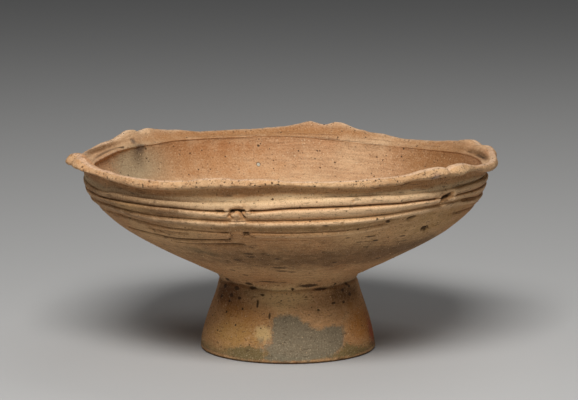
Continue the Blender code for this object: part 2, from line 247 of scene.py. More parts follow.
class DishColours(bpy.types.PropertyGroup):
    """Colours of the fired clay."""

    clay: colour("Clay", "Body colour of the fired clay", "#bd9068")
    buff: colour("Buff", "Paler clay, in broad areas", "#cfa981")
    orange: colour("Orange", "Clay that fired in clean flame", "#bd7d4e")
    # Worn also paints highlights: the ridge tops, the ledge's nose and the lip's crest are paler partly from
    # wear, partly as painted highlight
    worn_and_highlight: colour("Worn", "Edges rubbed pale", "#e6c6a8")
    # A warm tint over all the outside: painted light, the warm bounce light that the clay throws into its own
    # shade
    painted_bounce_tint: colour("Smoke", "Warm tint that the flame and the soil gave to the outside", "#fbf3df")
    # Recess is also painted shade: darker the deeper the surface is cut, and a painted contact shadow round
    # the foot's lower edge
    recess: colour("Recess", "Dark burial dirt in grooves and pits", "#3d2915")
    fleck_pale: colour("Pale flecks", "Fine pale grit in the surface", "#e2c8a4")
    fleck_dark: colour("Dark flecks", "Fine dark grit in the surface", "#5f4027")
    grain_pale: colour("Pale grains", "Grains of quartz sand", "#c9a981")
    grain_dark: colour("Dark grains", "Grains of dark crushed pot", "#7a5336")
    stone: colour("Stone", "Single pale pebble in the wall inside", "#b9b2a0")


class StageSettings(bpy.types.PropertyGroup):
    """Floor and lights."""

    floor: colour("Floor", "Pale matt floor", "#b3b2b0")
    key_power: power("Key light", "Power of the wide soft light high in front", 36.0)
    fill_power: power("Fill light", "Power of the soft light high behind", 4.0)


def turn_from(azimuth, centre):
    """Degrees from centre to azimuth, between -180 and 180."""
    return (azimuth - centre + 180.0) % 360.0 - 180.0


def close_to(azimuths, centre, spread):
    """1 at one azimuth, easing to 0 away from it, with a spread in degrees."""
    return np.exp(-((turn_from(azimuths, centre) / spread) ** 2))


def around(marks, azimuths):
    """The value at each azimuth of a line given by (azimuth, value) marks, eased with no overshoot."""
    marks = np.array(sorted(marks), float)
    x = np.concatenate([marks[-3:, 0] - 360, marks[:, 0], marks[:3, 0] + 360])
    y = np.concatenate([marks[-3:, 1], marks[:, 1], marks[:3, 1]])
    rise = np.diff(y) / np.diff(x)
    before, after = rise[:-1], rise[1:]
    same = before * after > 0
    total = np.where(same, before + after, 1.0)
    slope = np.concatenate([[0.0], np.where(same, 2 * before * after / total, 0.0), [0.0]])
    at = azimuths % 360.0
    left = np.clip(np.searchsorted(x, at, side="right") - 1, 0, len(x) - 2)
    width = x[left + 1] - x[left]
    t = (at - x[left]) / width
    start = (2 * t**3 - 3 * t**2 + 1) * y[left] + (t**3 - 2 * t**2 + t) * width * slope[left]
    end = (3 * t**2 - 2 * t**3) * y[left + 1] + (t**3 - t**2) * width * slope[left + 1]
    return start + end


def smooth(low, high, value):
    """0 up to low, 1 from high on, and an eased step between."""
    t = np.clip((value - low) / (high - low), 0.0, 1.0)
    return t * t * (3 - 2 * t)


def soft_noise(points, size, seed):
    """Smooth noise between -1 and 1 whose lumps are about size wide. points is (..., 3)."""
    table = np.random.default_rng(seed).uniform(-1, 1, 4096)
    at = points / size
    cell = np.floor(at).astype(np.int64)
    part = at - cell
    part = part * part * (3 - 2 * part)
    total = np.zeros(at.shape[:-1])
    for corner in range(8):
        step = np.array([corner & 1, corner >> 1 & 1, corner >> 2])
        x, y, z = np.moveaxis(cell + step, -1, 0)
        index = (x * 73856093 ^ y * 19349663 ^ z * 83492791) & 4095
        weight = np.prod(np.where(step, part, 1 - part), axis=-1)
        total += weight * table[index]
    return total


def bezier(points, share):
    """The point at a share of the way along a curve with four control points."""
    rest = 1.0 - share
    weights = (rest**3, 3 * rest**2 * share, 3 * rest * share**2, share**3)
    radius = sum(weight * point[0] for weight, point in zip(weights, points))
    height = sum(weight * point[1] for weight, point in zip(weights, points))
    return radius, height


def bowl_curve(share):
    """The outside of the bowl without its relief, from the join (0) to the foot of the lip (1)."""
    width = BOWL_RADIUS - JOIN_RADIUS
    rise = LIP_FOOT - JOIN_HEIGHT
    controls = (
        (JOIN_RADIUS, JOIN_HEIGHT),
        (JOIN_RADIUS + JOIN_HANDLE[0] * width, JOIN_HEIGHT + JOIN_HANDLE[1] * rise),
        (BOWL_RADIUS, JOIN_HEIGHT + BOWL_FULLNESS * rise),
        (BOWL_RADIUS, LIP_FOOT),
    )
    return bezier(controls, share)


CURVE_SHARES = np.linspace(0.0, 1.0, 2001)
CURVE_RADII, CURVE_HEIGHTS = bowl_curve(CURVE_SHARES)


def bowl_radius(height):
    """Radius of the bowl's curve at a height."""
    return np.interp(height, CURVE_HEIGHTS, CURVE_RADII)


def bowl_share(height):
    """How far along the bowl's curve a height lies."""
    return np.interp(height, CURVE_HEIGHTS, CURVE_SHARES)


def bowl_bottom(radius):
    """Height of the bowl's underside inside the join."""
    slope = (CURVE_HEIGHTS[1] - CURVE_HEIGHTS[0]) / (CURVE_RADII[1] - CURVE_RADII[0])
    return JOIN_HEIGHT - slope * JOIN_RADIUS / 2 * (1 - (radius / JOIN_RADIUS) ** 2)


def underside(distance):
    """The whole outside of the bowl from its middle (-1), past the join (0), to the foot of the lip (1)."""
    if distance < 0:
        radius = JOIN_RADIUS * (1 + distance)
        return radius, bowl_bottom(radius)
    return bowl_curve(distance)


def inside(distance):
    """The point of the bowl's inside that lies one wall's thickness over the underside."""
    step = 0.002
    before = underside(max(distance - step, -1.0))
    after = underside(min(distance + step, 1.0))
    along = Vector((after[0] - before[0], after[1] - before[1])).normalized()
    radius, height = underside(distance)
    return radius - along.y * BOWL_WALL, height + along.x * BOWL_WALL


def foot_curve(share):
    """The outside of the foot, from the waist (0) to the ground (1)."""
    flare = FOOT_RADIUS - WAIST_RADIUS
    controls = (
        (WAIST_RADIUS, FOOT_HEIGHT),
        (WAIST_RADIUS + WAIST_HANDLE[0] * flare, WAIST_HANDLE[1] * FOOT_HEIGHT),
        (WAIST_RADIUS + BASE_HANDLE[0] * flare, BASE_HANDLE[1] * FOOT_HEIGHT),
        (FOOT_RADIUS, 0.0),
    )
    return bezier(controls, share)


def columns(count):
    """Azimuths of the mesh's columns: closest at the two front pits, close along the front, wider behind."""
    fine = np.linspace(0.0, 360.0, 7201)[:-1]
    front = smooth(92.0, 72.0, np.abs(turn_from(fine, 0.0)))
    close = sum(smooth(11.0, 6.0, np.abs(turn_from(fine, centre))) for centre in PIT_AZIMUTHS)
    dense = 1.0 + front + 2.2 * close
    total = np.concatenate([[0.0], np.cumsum(dense)])
    marks = np.linspace(0.0, total[-1], count, endpoint=False)
    return np.interp(marks, total, np.append(fine, 360.0))


def rim_lift(azimuths):
    """How far the rim's line stands over its nominal height."""
    found = np.zeros_like(azimuths)
    for index, lug in enumerate(LUGS):
        following = LUGS[(index + 1) % len(LUGS)]
        past = LUGS[(index + 2) % len(LUGS)]
        first = turn_from(following[0], lug[0]) / 2
        second = turn_from(past[0], following[0]) / 2
        along = turn_from(azimuths, lug[0] + first) / (first + second)
        ease = along * along * (3 - 2 * along)
        found = np.where((along >= 0) & (along < 1), lug[3] + (following[3] - lug[3]) * ease, found)
    return found


class Rim:
    """Everything about the rim that changes with azimuth, as arrays over the columns."""

    def __init__(self, azimuths):
        self.azimuths = azimuths
        turns = np.array([turn_from(azimuths, lug[0]) for lug in LUGS])
        nearest = np.argmin(np.abs(turns), axis=0)
        table = np.array(LUGS)[nearest]
        self.turn = turns[nearest, np.arange(len(azimuths))]
        self.lift = rim_lift(azimuths)
        self.crest = around(CREST, azimuths)
        self.rise = self.crest - RIM_HEIGHT - self.lift
        swell = np.exp(-((np.abs(self.turn) / LUG_SPREAD) ** 2.2))
        notch = np.exp(-((self.turn / NOTCH_SPREAD) ** 2))
        self.reach = table[:, 1] * (swell - NOTCH_SHARE * notch)
        self.nose_share = table[:, 2]
        self.foot = LIP_FOOT + self.lift + around(LIP_FOOT_STRAY, azimuths)
        self.ledge = RIM_HEIGHT - LEDGE_DROP + self.lift + around(LEDGE_STRAY, azimuths)
        self.cord = close_to(azimuths, *CORD)
        self.side = smooth(35.0, 85.0, np.abs(turn_from(azimuths, 0.0)))


def lift_share(height):
    """How much of the rim's lift a line of the relief follows at a height."""
    return np.clip((height - SECOND_LINE) / (NECK_FOOT - SECOND_LINE), 0.0, 1.0)


def rim_controls(rim, sizes):
    """Control points of the section from the upper inside wall, over the ledge and the lip, to the neck."""
    relief = sizes.ledge_relief / MM * (0.45 + 0.75 * rim.cord)
    wall = inside(1.0)[0]
    points = []
    for share in (0.86, 0.93):
        radius, height = inside(share)
        points.append((radius + 0 * rim.lift, height + rim.lift * lift_share(height)))
    nose = 0.15 + 1.4 * rim.cord
    # The ledge: how far out from the wall, and how far up in shares of its relief
    ledge = (
        (0.0, -2.4),
        (-0.9 * nose, -0.93),
        (-0.85 * nose, -0.09),
        (0.2 * relief, 0.51),
        (1.2 * relief, 1.15),
    )
    for out, up in ledge:
        points.append((wall + out + 0 * rim.lift, rim.ledge + up * relief))
    high = rim.crest - rim.foot
    full = np.clip(high / LIP_HEIGHT, 0.55, 1.25)
    # The lip: shares of its thickness, of its height below the crest, of the reach and of the rise
    lip = (
        (-0.1, 0.42, 0.1, 0.5),
        (0.12, 0.13, 0.2, 0.1),
        (0.36, 0.02, 0.35, 0.0),
        (0.6, 0.0, 0.5, 0.0),
        (0.84, 0.1, 0.75, 0.08),
    )
    for out, down, share, given in lip:
        radius = LIP_RADIUS - (1 - out) * LIP_THICKNESS + share * rim.reach
        points.append((radius, rim.crest - down * LIP_HEIGHT - given * np.maximum(rim.rise, 0)))
    nose = np.maximum(rim.rise, 0) * rim.nose_share
    line_height = RIM_HEIGHT + rim.lift
    nose_height = np.minimum(line_height - 0.6 * LIP_HEIGHT + nose, rim.crest - 0.3 * high)
    nose_height = np.maximum(nose_height, rim.foot + 0.42 * high)
    overhang = LIP_OVERHANG * (full - 1) * 0.35
    points.append((LIP_RADIUS + np.minimum(overhang, 0) + rim.reach, nose_height))
    chin_height = rim.foot + 0.32 * (nose_height - rim.foot)
    points.append((LIP_RADIUS - 0.5 + np.minimum(overhang, 0) + 0.86 * rim.reach, chin_height))
    points.append((LIP_RADIUS - 2.2 + 0.5 * np.minimum(overhang, 0) + 0.42 * rim.reach, rim.foot))
    return points


def chain(points, steps):
    """Rows on a smooth curve through control points. steps gives the rows from each point to the next."""
    rows = []
    for index, count in enumerate(steps, start=1):
        a, b, c, d = (np.array(points[i]) for i in (index - 1, index, index + 1, index + 2))
        for step in range(count):
            t = step / count
            bend, twist = 2 * a - 5 * b + 4 * c - d, 3 * b - a - 3 * c + d
            rows.append(0.5 * (2 * b + (c - a) * t + bend * t**2 + twist * t**3))
    return rows


def run_share(azimuths, runs, ease):
    """1 along a groove's runs, 0 between them, with ends that ease over this many degrees."""
    share = np.zeros_like(azimuths)
    for start, end in runs:
        span = (end - start) % 360.0
        middle = start + span / 2
        share = np.maximum(share, smooth(ease, -ease, np.abs(turn_from(azimuths, middle)) - span / 2))
    return share


# Heights of the rows between the lip and the underside, close together at the grooves
WALL_ROWS = (
    106.9, 106.3, 105.6, 104.9, 104.2, 103.5, 102.9, 102.5,
    102.25, 102.0, 101.75, 101.4, 100.9, 100.4, 99.9, 99.4,
    99.05, 98.75, 98.4, 98.05, 97.75,
    97.4, 97.0, 96.5, 96.0, 95.5, 95.0, 94.5, 94.0, 93.5, 93.1,
    92.8, 92.55, 92.3, 92.05, 91.8,
    91.4, 91.0, 90.5, 90.0, 89.4, 88.8, 88.2, 87.6, 87.1, 86.75,
    86.45, 86.2, 85.9, 85.6, 85.3,
    85.0, 84.5, 84.0, 83.4, 82.8, 82.2, 81.6, 81.0, 80.5,
    80.15, 79.9, 79.6, 79.3, 79.0,
    78.6, 78.1, 77.5, 77.0,
    76.75, 76.55, 76.3, 76.05, 75.8,
    75.3, 74.6,
)


# Rows of the mesh from each control point of the rim to the next, and how the rows over the ledge are toned:
# plus is paler, partly wear and partly painted highlight on the ledge's nose, and minus is darker, partly
# dirt and partly painted shade in the recess over it
RIM_STEPS = (2, 2, 2, 2, 2, 3, 3, 3, 3, 3, 3, 3, 3, 4)
RIM_TONES = {4: 0.35, 5: 0.6, 6: 0.5, 7: -0.35, 8: -0.75, 9: -0.8, 10: -0.6, 11: -0.25}
CREST_ROW = sum(RIM_STEPS[:10])

# Rows of the mesh down the foot, as shares of the way
FOOT_ROWS = (
    0.0, 0.012, 0.026, 0.042, 0.062, 0.09, 0.13, 0.18, 0.25,
    0.33, 0.41, 0.49, 0.57, 0.65, 0.73, 0.8, 0.87, 0.93,
)


def line_shifts(rim):
    """Nominal heights of the lines round the outside, from the top down, and how far each strays upwards."""
    strays = {
        NECK_FOOT: NECK_FOOT_STRAY,
        UPPER_GROOVE: UPPER_GROOVE_STRAY,
        MIDDLE_GROOVE: MIDDLE_GROOVE_STRAY,
        LOWER_GROOVE: LOWER_GROOVE_STRAY,
        FIRST_LINE: FIRST_LINE_STRAY,
        SECOND_LINE: SECOND_LINE_STRAY,
    }
    shifts = [rim.lift * lift_share(height) + around(stray, rim.azimuths) for height, stray in strays.items()]
    return (LIP_FOOT, *strays, RELIEF_END), [rim.foot - LIP_FOOT, *shifts, 0 * rim.lift]


# A ridge's section, as (share of the way down, share of its relief). The upper ridge has a sharper shoulder.
SHARP_RIDGE = ((0.0, 0.15), (0.1, 0.6), (0.24, 0.92), (0.42, 1.0), (0.66, 0.86), (0.86, 0.55), (1.0, 0.35))
ROUND_RIDGE = ((0.0, 0.35), (0.08, 0.75), (0.2, 1.0), (0.34, 1.0), (0.52, 0.75), (0.75, 0.35), (1.0, 0.1))
HOOKED_RIDGE = ((0.0, 0.4), (0.08, 0.9), (0.2, 1.0), (0.32, 0.85), (0.5, 0.4), (0.75, 0.05), (1.0, -0.1))


def wall_relief(height, rim, sizes):
    """How far the wall stands out from the bowl's curve at this nominal height, over the columns."""
    ridge = sizes.ridge_relief / MM
    depth = sizes.groove_depth / MM
    width = sizes.groove_width / MM
    fine = sizes.line_depth / MM
    left = close_to(rim.azimuths, *DEEP_LEFT)
    flat = (1 - 0.4 * np.exp(-((rim.turn / 4.0) ** 2))) * (1 - 0.5 * rim.side)
    relief = 0 * rim.azimuths
    # Ridges: top, foot, share of the relief, section
    ridges = (
        (NECK_FOOT - 0.3, UPPER_GROOVE, 0.9, SHARP_RIDGE),
        (UPPER_GROOVE, MIDDLE_GROOVE, 1.1, ROUND_RIDGE),
        (MIDDLE_GROOVE, LOWER_GROOVE, 0.95, HOOKED_RIDGE),
        (LOWER_GROOVE, FIRST_LINE, 0.3, ROUND_RIDGE),
    )
    for top, foot, share, section in ridges:
        if foot < height < top:
            down, out = zip(*section)
            relief = relief + ridge * share * flat * np.interp((top - height) / (top - foot), down, out)
    # Grooves: middle, runs, depth, width, degrees over which the ends ease out, how much deeper on the left
    grooves = (
        (UPPER_GROOVE, UPPER_RUNS, depth, width, 0.35, -0.4),
        (MIDDLE_GROOVE, MIDDLE_RUNS, depth * 0.55, width * 1.35, 1.0, -0.4),
        (LOWER_GROOVE, LOWER_RUNS, depth * 0.7, width * 0.85, 0.6, 0.2),
        (FIRST_LINE, FIRST_RUNS, fine, width * 1.15, 1.0, 0.9),
        (SECOND_LINE, SECOND_RUNS, fine * 0.9, width * 1.1, 1.2, 0.9),
    )
    for centre, runs, deep, wide, ease, deeper in grooves:
        cut = deep * np.exp(-(np.abs((height - centre) / (wide * 0.62)) ** 2.6))
        relief = relief - cut * (1 + deeper * left) * run_share(rim.azimuths, runs, ease)
    return relief


def wall_hollow(height, rim, sizes):
    """How far the neck and the wall under it lie inside the bowl's curve."""
    full = close_to(rim.azimuths, *FULL_NECK)
    depth = sizes.neck_depth / MM * (1 - 0.35 * smooth(8.0, 50.0, np.abs(turn_from(rim.azimuths, 5.0))))
    neck = depth * (1 - 0.8 * full) * smooth(NECK_FOOT - 0.9, NECK_FOOT - 0.2, height)
    taper = 0.5 + 0.8 * (rim.side * (1 - full))
    taper = taper * smooth(88.0, 98.0, height) * (1 - 0.6 * smooth(NECK_FOOT, LIP_FOOT, height))
    return neck + taper + 0.45 * smooth(78.0, 86.0, height)


class Wall:
    """The closed wall as rows of points over the columns, from the bowl's floor round to the foot's hollow.

    Each row has radii, heights and relief in millimetres, a step and a side: in, out, base or hollow."""

    def __init__(self, azimuths, sizes):
        self.azimuths = azimuths
        self.rim = Rim(azimuths)
        self.lines, self.shifts = line_shifts(self.rim)
        self.radius, self.height, self.relief = [], [], []
        self.steps, self.sides, self.tone = [], [], {}
        self.lay_inside()
        self.lay_rim(sizes)
        self.lay_relief(sizes)
        self.lay_underside()
        self.lay_foot()
        self.radius, self.height, self.relief = map(np.array, (self.radius, self.height, self.relief))
        self.sides = np.array(self.sides)
        self.measure_run()

    def lay(self, radius, height, step, side, relief=0.0):
        """Adds a row. The mesh takes every step-th point of it, or only the first where step is 0."""
        self.radius.append(radius + 0 * self.azimuths)
        self.height.append(height + 0 * self.azimuths)
        self.relief.append(relief + 0 * self.azimuths)
        self.steps.append(step)
        self.sides.append(side)

    def lay_inside(self):
        """The inside of the bowl, from the middle of its floor to the wall under the ledge."""
        shares = [-1.0] + list(np.linspace(-0.93, -0.3, 7)) + list(np.linspace(-0.2, 0.83, 26))
        for index, share in enumerate(shares):
            radius, height = inside(share)
            step = 0 if index == 0 else 8 if index < 3 else 4 if index < 7 else 2
            self.lay(radius, height + self.rim.lift * lift_share(height), step, "in")

    def outer(self, height, sizes):
        """Radius and true height of the outside at a nominal height, which moves with the lines beside it."""
        index = max(i for i in range(len(self.lines) - 1) if self.lines[i] >= height or i == 0)
        top, foot = self.lines[index], self.lines[index + 1]
        share = (top - height) / (top - foot)
        shift = self.shifts[index] * (1 - share) + self.shifts[index + 1] * share
        return bowl_radius(height) - wall_hollow(height, self.rim, sizes), height + shift

    def lay_rim(self, sizes):
        """The ledge and the lip, as far as the top of the neck."""
        controls = rim_controls(self.rim, sizes) + [self.outer(height, sizes) for height in WALL_ROWS[:2]]
        # Tones of the rows over the ledge, strongest at the cord: partly wear and painted highlight, partly
        # dirt and painted shade
        strength = 0.2 + 1.1 * self.rim.cord
        for index, (radius, height) in enumerate(chain(controls, RIM_STEPS)):
            self.tone[len(self.steps)] = RIM_TONES.get(index, 0.0) * strength
            self.lay(radius, height, 1, "in" if index < CREST_ROW else "out")

    def lay_relief(self, sizes):
        """The neck, the ridges and the fine lines."""
        self.first_wall = len(self.steps)
        for nominal in WALL_ROWS:
            radius, height = self.outer(nominal, sizes)
            self.lay(radius, height, 1, "out", wall_relief(nominal, self.rim, sizes))

    def lay_underside(self):
        """The plain bowl under the lines, and the bend of the join."""
        start = bowl_share(RELIEF_END)
        for share in list(np.linspace(0.985, 0.12, 15)) + [0.08, 0.045, 0.02]:
            self.lay(*bowl_curve(start * share), 2, "out")
        (high_radius, high), (low_radius, low) = bowl_curve(0.0), foot_curve(0.0)
        for share in (0.0, 0.3, 0.55, 0.8):
            radius = high_radius + (low_radius - high_radius) * share
            self.lay(radius, high + (low - high) * share, 2, "out")

    def lay_foot(self):
        """The outside of the foot, its ring, and its hollow up to the middle of the bowl's underside."""
        for share in FOOT_ROWS:
            self.lay(*foot_curve(share), 4 if share > 0.1 else 2, "out")
        edge, inner = FOOT_EDGE, FOOT_RADIUS - FOOT_WALL
        ring = [(FOOT_RADIUS, edge), (FOOT_RADIUS - edge * 0.35, edge * 0.3), (FOOT_RADIUS - edge, 0.0)]
        ring += [(inner + edge, 0.0), (inner + edge * 0.35, edge * 0.3), (inner, edge)]
        for radius, height in ring:
            self.lay(radius, height, 4, "base")
        for share in (0.88, 0.76, 0.64, 0.52, 0.4, 0.28, 0.16):
            radius, height = foot_curve(share)
            self.lay(radius - FOOT_WALL, height, 4, "hollow")
        for share, step in ((0.97, 4), (0.85, 4), (0.65, 4), (0.42, 8), (0.2, 8), (0.0, 0)):
            radius = (WAIST_RADIUS - FOOT_WALL) * share
            self.lay(radius, bowl_bottom(radius), step, "hollow")

    def measure_run(self):
        """Distance along the section from the middle of the floor to each point."""
        between = np.hypot(np.diff(self.radius, axis=0), np.diff(self.height, axis=0))
        run = np.concatenate([np.zeros((1, len(self.azimuths))), np.cumsum(between, axis=0)])
        # The rim's rise and fall is taken up on the lip, so that the rows of the wall and the foot run level
        first_out = int(np.argmax(self.sides == "out"))
        crest, neck = run[first_out], run[self.first_wall]
        self.run = run + (neck.mean() - neck) * np.clip((run - crest) / (neck - crest), 0, 1)
        self.run[self.first_wall :] = self.run[self.first_wall :].mean(axis=1, keepdims=True)
        self.crest_run = self.run[first_out]

    def normals(self):
        """Unit normals of the section, pointing out of the clay."""
        radius = np.gradient(self.radius, axis=0)
        height = np.gradient(self.height, axis=0)
        size = np.maximum(np.hypot(radius, height), 1e-9)
        return -height / size, radius / size

    def spot(self, side, azimuth, height):
        """The run along the section of a place given by its side, azimuth and height."""
        column = int(np.argmin(np.abs(turn_from(self.azimuths, azimuth))))
        rows = np.nonzero(self.sides == side)[0]
        heights = self.height[rows, column]
        runs = self.run[rows, column]
        if side == "in":
            return np.interp(height, np.maximum.accumulate(heights), runs)
        return np.interp(-height, np.maximum.accumulate(-heights), runs)

    def across(self, azimuth):
        """Distance round the dish from this azimuth to each point, in millimetres."""
        return np.radians(turn_from(self.azimuths, azimuth))[None, :] * self.radius

    def near(self, side, path):
        """Distance of each point of one side from a path of (azimuth, height) places."""
        runs = [self.spot(side, azimuth, height) for azimuth, height in path]
        best = np.full_like(self.radius, 1e3)
        # A single place is a path of no length
        if len(path) == 1:
            path, runs = path * 2, runs * 2
        for (start, _), (end, _), low, high in zip(path, path[1:], runs, runs[1:]):
            wide = np.radians(turn_from(end, start)) * self.radius
            tall = high - low
            u, v = self.across(start), self.run - low
            share = np.clip((u * wide + v * tall) / np.maximum(wide**2 + tall**2, 1e-9), 0, 1)
            best = np.minimum(best, np.hypot(u - share * wide, v - share * tall))
        return np.where((self.sides == side)[:, None], best, 1e3)


# Marks cut or pressed into the clay: side, width and depth in millimetres (minus is raised), and the places
# that the mark runs through, as (azimuth, height)
MARKS = (
    # Pit with two legs under the front lug, and the thick ends of the grooves beside it
    ("out", 1.0, 1.8, ((345.1, 98.3), (346.6, 98.8), (348.6, 98.5))),
    ("out", 0.75, 1.7, ((345.4, 98.0), (344.8, 97.1), (344.5, 95.8))),
    ("out", 0.75, 1.8, ((347.6, 97.9), (348.0, 96.5), (348.6, 94.9))),
    ("out", 0.6, 0.5, ((344.8, 95.6), (345.5, 94.6))),
    ("out", 1.2, 0.9, ((341.2, 97.7), (342.8, 97.8))),
    ("out", 1.0, 0.8, ((350.4, 98.5), (351.2, 98.4))),
    ("out", 1.3, -0.5, ((343.9, 98.4), (344.6, 98.4))),
    ("out", 1.2, -0.5, ((349.3, 98.8), (349.9, 98.8))),
    ("out", 1.5, -0.7, ((345.2, 92.3), (346.6, 92.5), (348.3, 92.3))),
    # Rounded end that joins the lower groove to the first line
    ("out", 0.7, 0.8, (
        (342.6, 84.8), (343.5, 84.4), (343.9, 83.4), (343.6, 82.0), (342.8, 80.9), (342.0, 80.2),
    )),
    ("out", 0.8, -0.4, ((342.3, 83.2), (342.9, 82.4))),
    # Short groove between the two on the left
    ("out", 0.75, 1.6, (
        (314.5, 83.1), (318.3, 82.4), (321.6, 82.3), (324.7, 82.4), (327.3, 82.6), (329.7, 82.6),
    )),
    # Star where the right-hand lower groove starts
    ("out", 1.1, 1.6, ((347.7, 84.9), (348.8, 84.9))),
    ("out", 0.7, 1.3, ((348.3, 84.6), (349.0, 83.6), (350.3, 82.2))),
    ("out", 0.6, 1.1, ((348.0, 84.5), (347.4, 83.0))),
    ("out", 0.7, -0.4, ((351.0, 83.5), (0.0, 83.4), (12.0, 83.9), (24.0, 85.6), (31.0, 86.9))),
    # Slanted pit under the right-hand front lug, its leg, and the pads beside it
    ("out", 1.5, 2.0, ((48.0, 100.2), (49.9, 101.0), (51.5, 101.7))),
    ("out", 1.3, 1.7, ((47.7, 99.2), (50.2, 99.9))),
    ("out", 0.8, 1.2, ((47.4, 99.0), (47.2, 97.4))),
    ("out", 0.7, 0.9, ((49.9, 98.4),)),
    ("out", 1.1, -0.6, ((53.0, 100.4), (53.1, 98.2))),
    ("out", 1.1, -0.4, ((46.3, 100.8), (46.2, 99.0))),
    ("out", 0.6, 0.7, ((54.5, 105.0), (60.0, 104.8), (67.0, 104.6), (80.0, 104.3))),
    ("out", 0.8, 0.8, ((59.4, 95.7), (63.7, 95.0), (69.8, 93.9))),
    ("out", 0.7, -0.5, ((59.7, 94.1), (64.0, 93.5), (70.6, 92.2))),
    ("out", 1.4, 0.8, ((75.0, 88.2), (76.4, 87.9))),
    # Long marks of the smoothing tool under the right-hand ridges
    ("out", 0.8, 0.4, ((352.0, 80.6), (4.0, 80.8), (13.0, 81.4))),
    ("out", 0.6, 0.6, ((24.2, 81.9), (25.8, 82.4), (27.9, 82.1))),
    ("out", 0.6, 0.7, ((25.6, 77.7), (27.8, 78.4))),
    ("out", 0.6, 0.5, ((17.6, 79.8), (20.4, 80.9))),
    ("out", 0.8, 0.5, ((31.0, 85.0), (38.0, 86.4), (45.0, 88.9))),
    ("out", 0.7, 0.5, ((330.5, 86.5), (334.4, 86.5), (336.5, 85.9))),
    ("out", 0.6, -0.4, ((328.0, 87.7), (331.0, 87.3))),
    # Drag marks of grit on the underside
    ("out", 0.8, 1.2, ((346.5, 75.5), (348.6, 74.9))),
    ("out", 0.7, 1.2, ((348.9, 74.2), (350.6, 73.9))),
    # Pits where grit or straw burnt out
    ("out", 0.7, 1.0, ((18.9, 105.4),)),
    ("out", 0.6, 0.9, ((17.8, 103.9),)),
    ("out", 0.8, 1.1, ((15.3, 91.6),)),
    ("out", 1.1, 1.6, ((29.4, 90.5), (30.4, 90.6))),
    ("out", 1.3, 1.8, ((37.4, 90.3), (38.9, 90.9))),
    ("out", 0.9, 1.3, ((39.8, 90.8),)),
    ("out", 1.6, 1.9, ((46.6, 81.6), (48.0, 82.0))),
    ("out", 1.0, 1.5, ((48.3, 80.0),)),
    ("out", 0.9, 1.5, ((45.6, 82.7),)),
    ("out", 0.8, 1.3, ((49.2, 84.4),)),
    ("out", 0.8, 1.2, ((50.5, 83.0),)),
    ("out", 0.6, 0.6, ((47.8, 87.2), (48.8, 88.2))),
    # The mouth of the bowl inside: slots over the ledge, and two rough vertical streaks
    ("in", 0.8, 1.4, ((241.9, 110.6), (240.1, 110.2))),
    ("in", 0.9, 1.7, ((104.5, 110.2), (99.8, 110.2), (94.5, 110.4))),
    ("in", 0.7, 1.1, ((111.5, 110.1), (107.5, 110.0))),
    ("in", 0.7, 0.8, ((131.6, 101.0), (130.9, 98.2), (130.6, 95.9))),
    ("in", 1.4, 0.35, ((205.9, 110.0), (205.5, 99.3), (205.8, 86.2))),
    # Chips in the worn lip
    ("out", 0.8, 0.4, ((344.2, 114.9), (345.2, 114.8))),
    ("out", 0.6, 0.4, ((343.4, 113.4),)),
    ("out", 0.8, 0.5, ((347.3, 115.4), (348.2, 115.0))),
    ("out", 0.6, 0.5, ((349.6, 114.6),)),
    ("out", 0.7, 0.6, ((42.6, 117.9), (43.4, 118.0))),
    # Crease round the join, where the bowl's clay laps over the foot, and the raised edge over it
    ("out", 0.9, 0.8, (
        (262.0, 41.8), (276.0, 41.2), (289.8, 41.0), (305.9, 42.0), (318.3, 42.1), (329.4, 41.4),
        (338.9, 40.8), (349.9, 40.5), (2.0, 40.6), (12.7, 40.9), (23.5, 41.3), (32.4, 41.2),
        (42.9, 41.3), (55.8, 41.8), (76.5, 41.6), (92.0, 41.2), (110.0, 41.9),
    )),
    ("out", 0.9, 0.8, (
        (112.0, 41.9), (135.0, 41.2), (160.0, 41.7), (190.0, 41.4), (215.0, 41.9), (240.0, 41.3),
    )),
    ("out", 1.8, -0.3, (
        (262.0, 44.6), (289.8, 44.2), (318.3, 45.0), (338.9, 43.8), (2.0, 43.6), (23.5, 44.2),
        (55.8, 44.8), (92.0, 44.2), (130.0, 44.6),
    )),
    # In keeping, on the sides that the photograph does not show
    ("out", 1.0, 1.4, ((166.9, 98.6), (169.0, 99.2), (171.6, 98.8))),
    ("out", 1.1, 1.4, ((106.4, 98.6), (109.2, 98.9), (111.4, 98.5))),
    ("out", 1.0, 1.4, ((226.6, 98.6), (229.0, 98.9), (231.4, 98.7))),
    ("out", 0.9, 1.0, ((284.4, 97.4), (285.6, 97.2))),
    ("out", 0.8, 0.9, ((140.0, 90.5),)),
    ("out", 0.9, 0.9, ((196.0, 84.0), (197.0, 84.1))),
    ("out", 0.8, 0.8, ((251.0, 88.4),)),
    ("out", 0.9, 0.8, ((150.0, 45.0), (162.0, 44.4), (171.0, 44.9))),
)

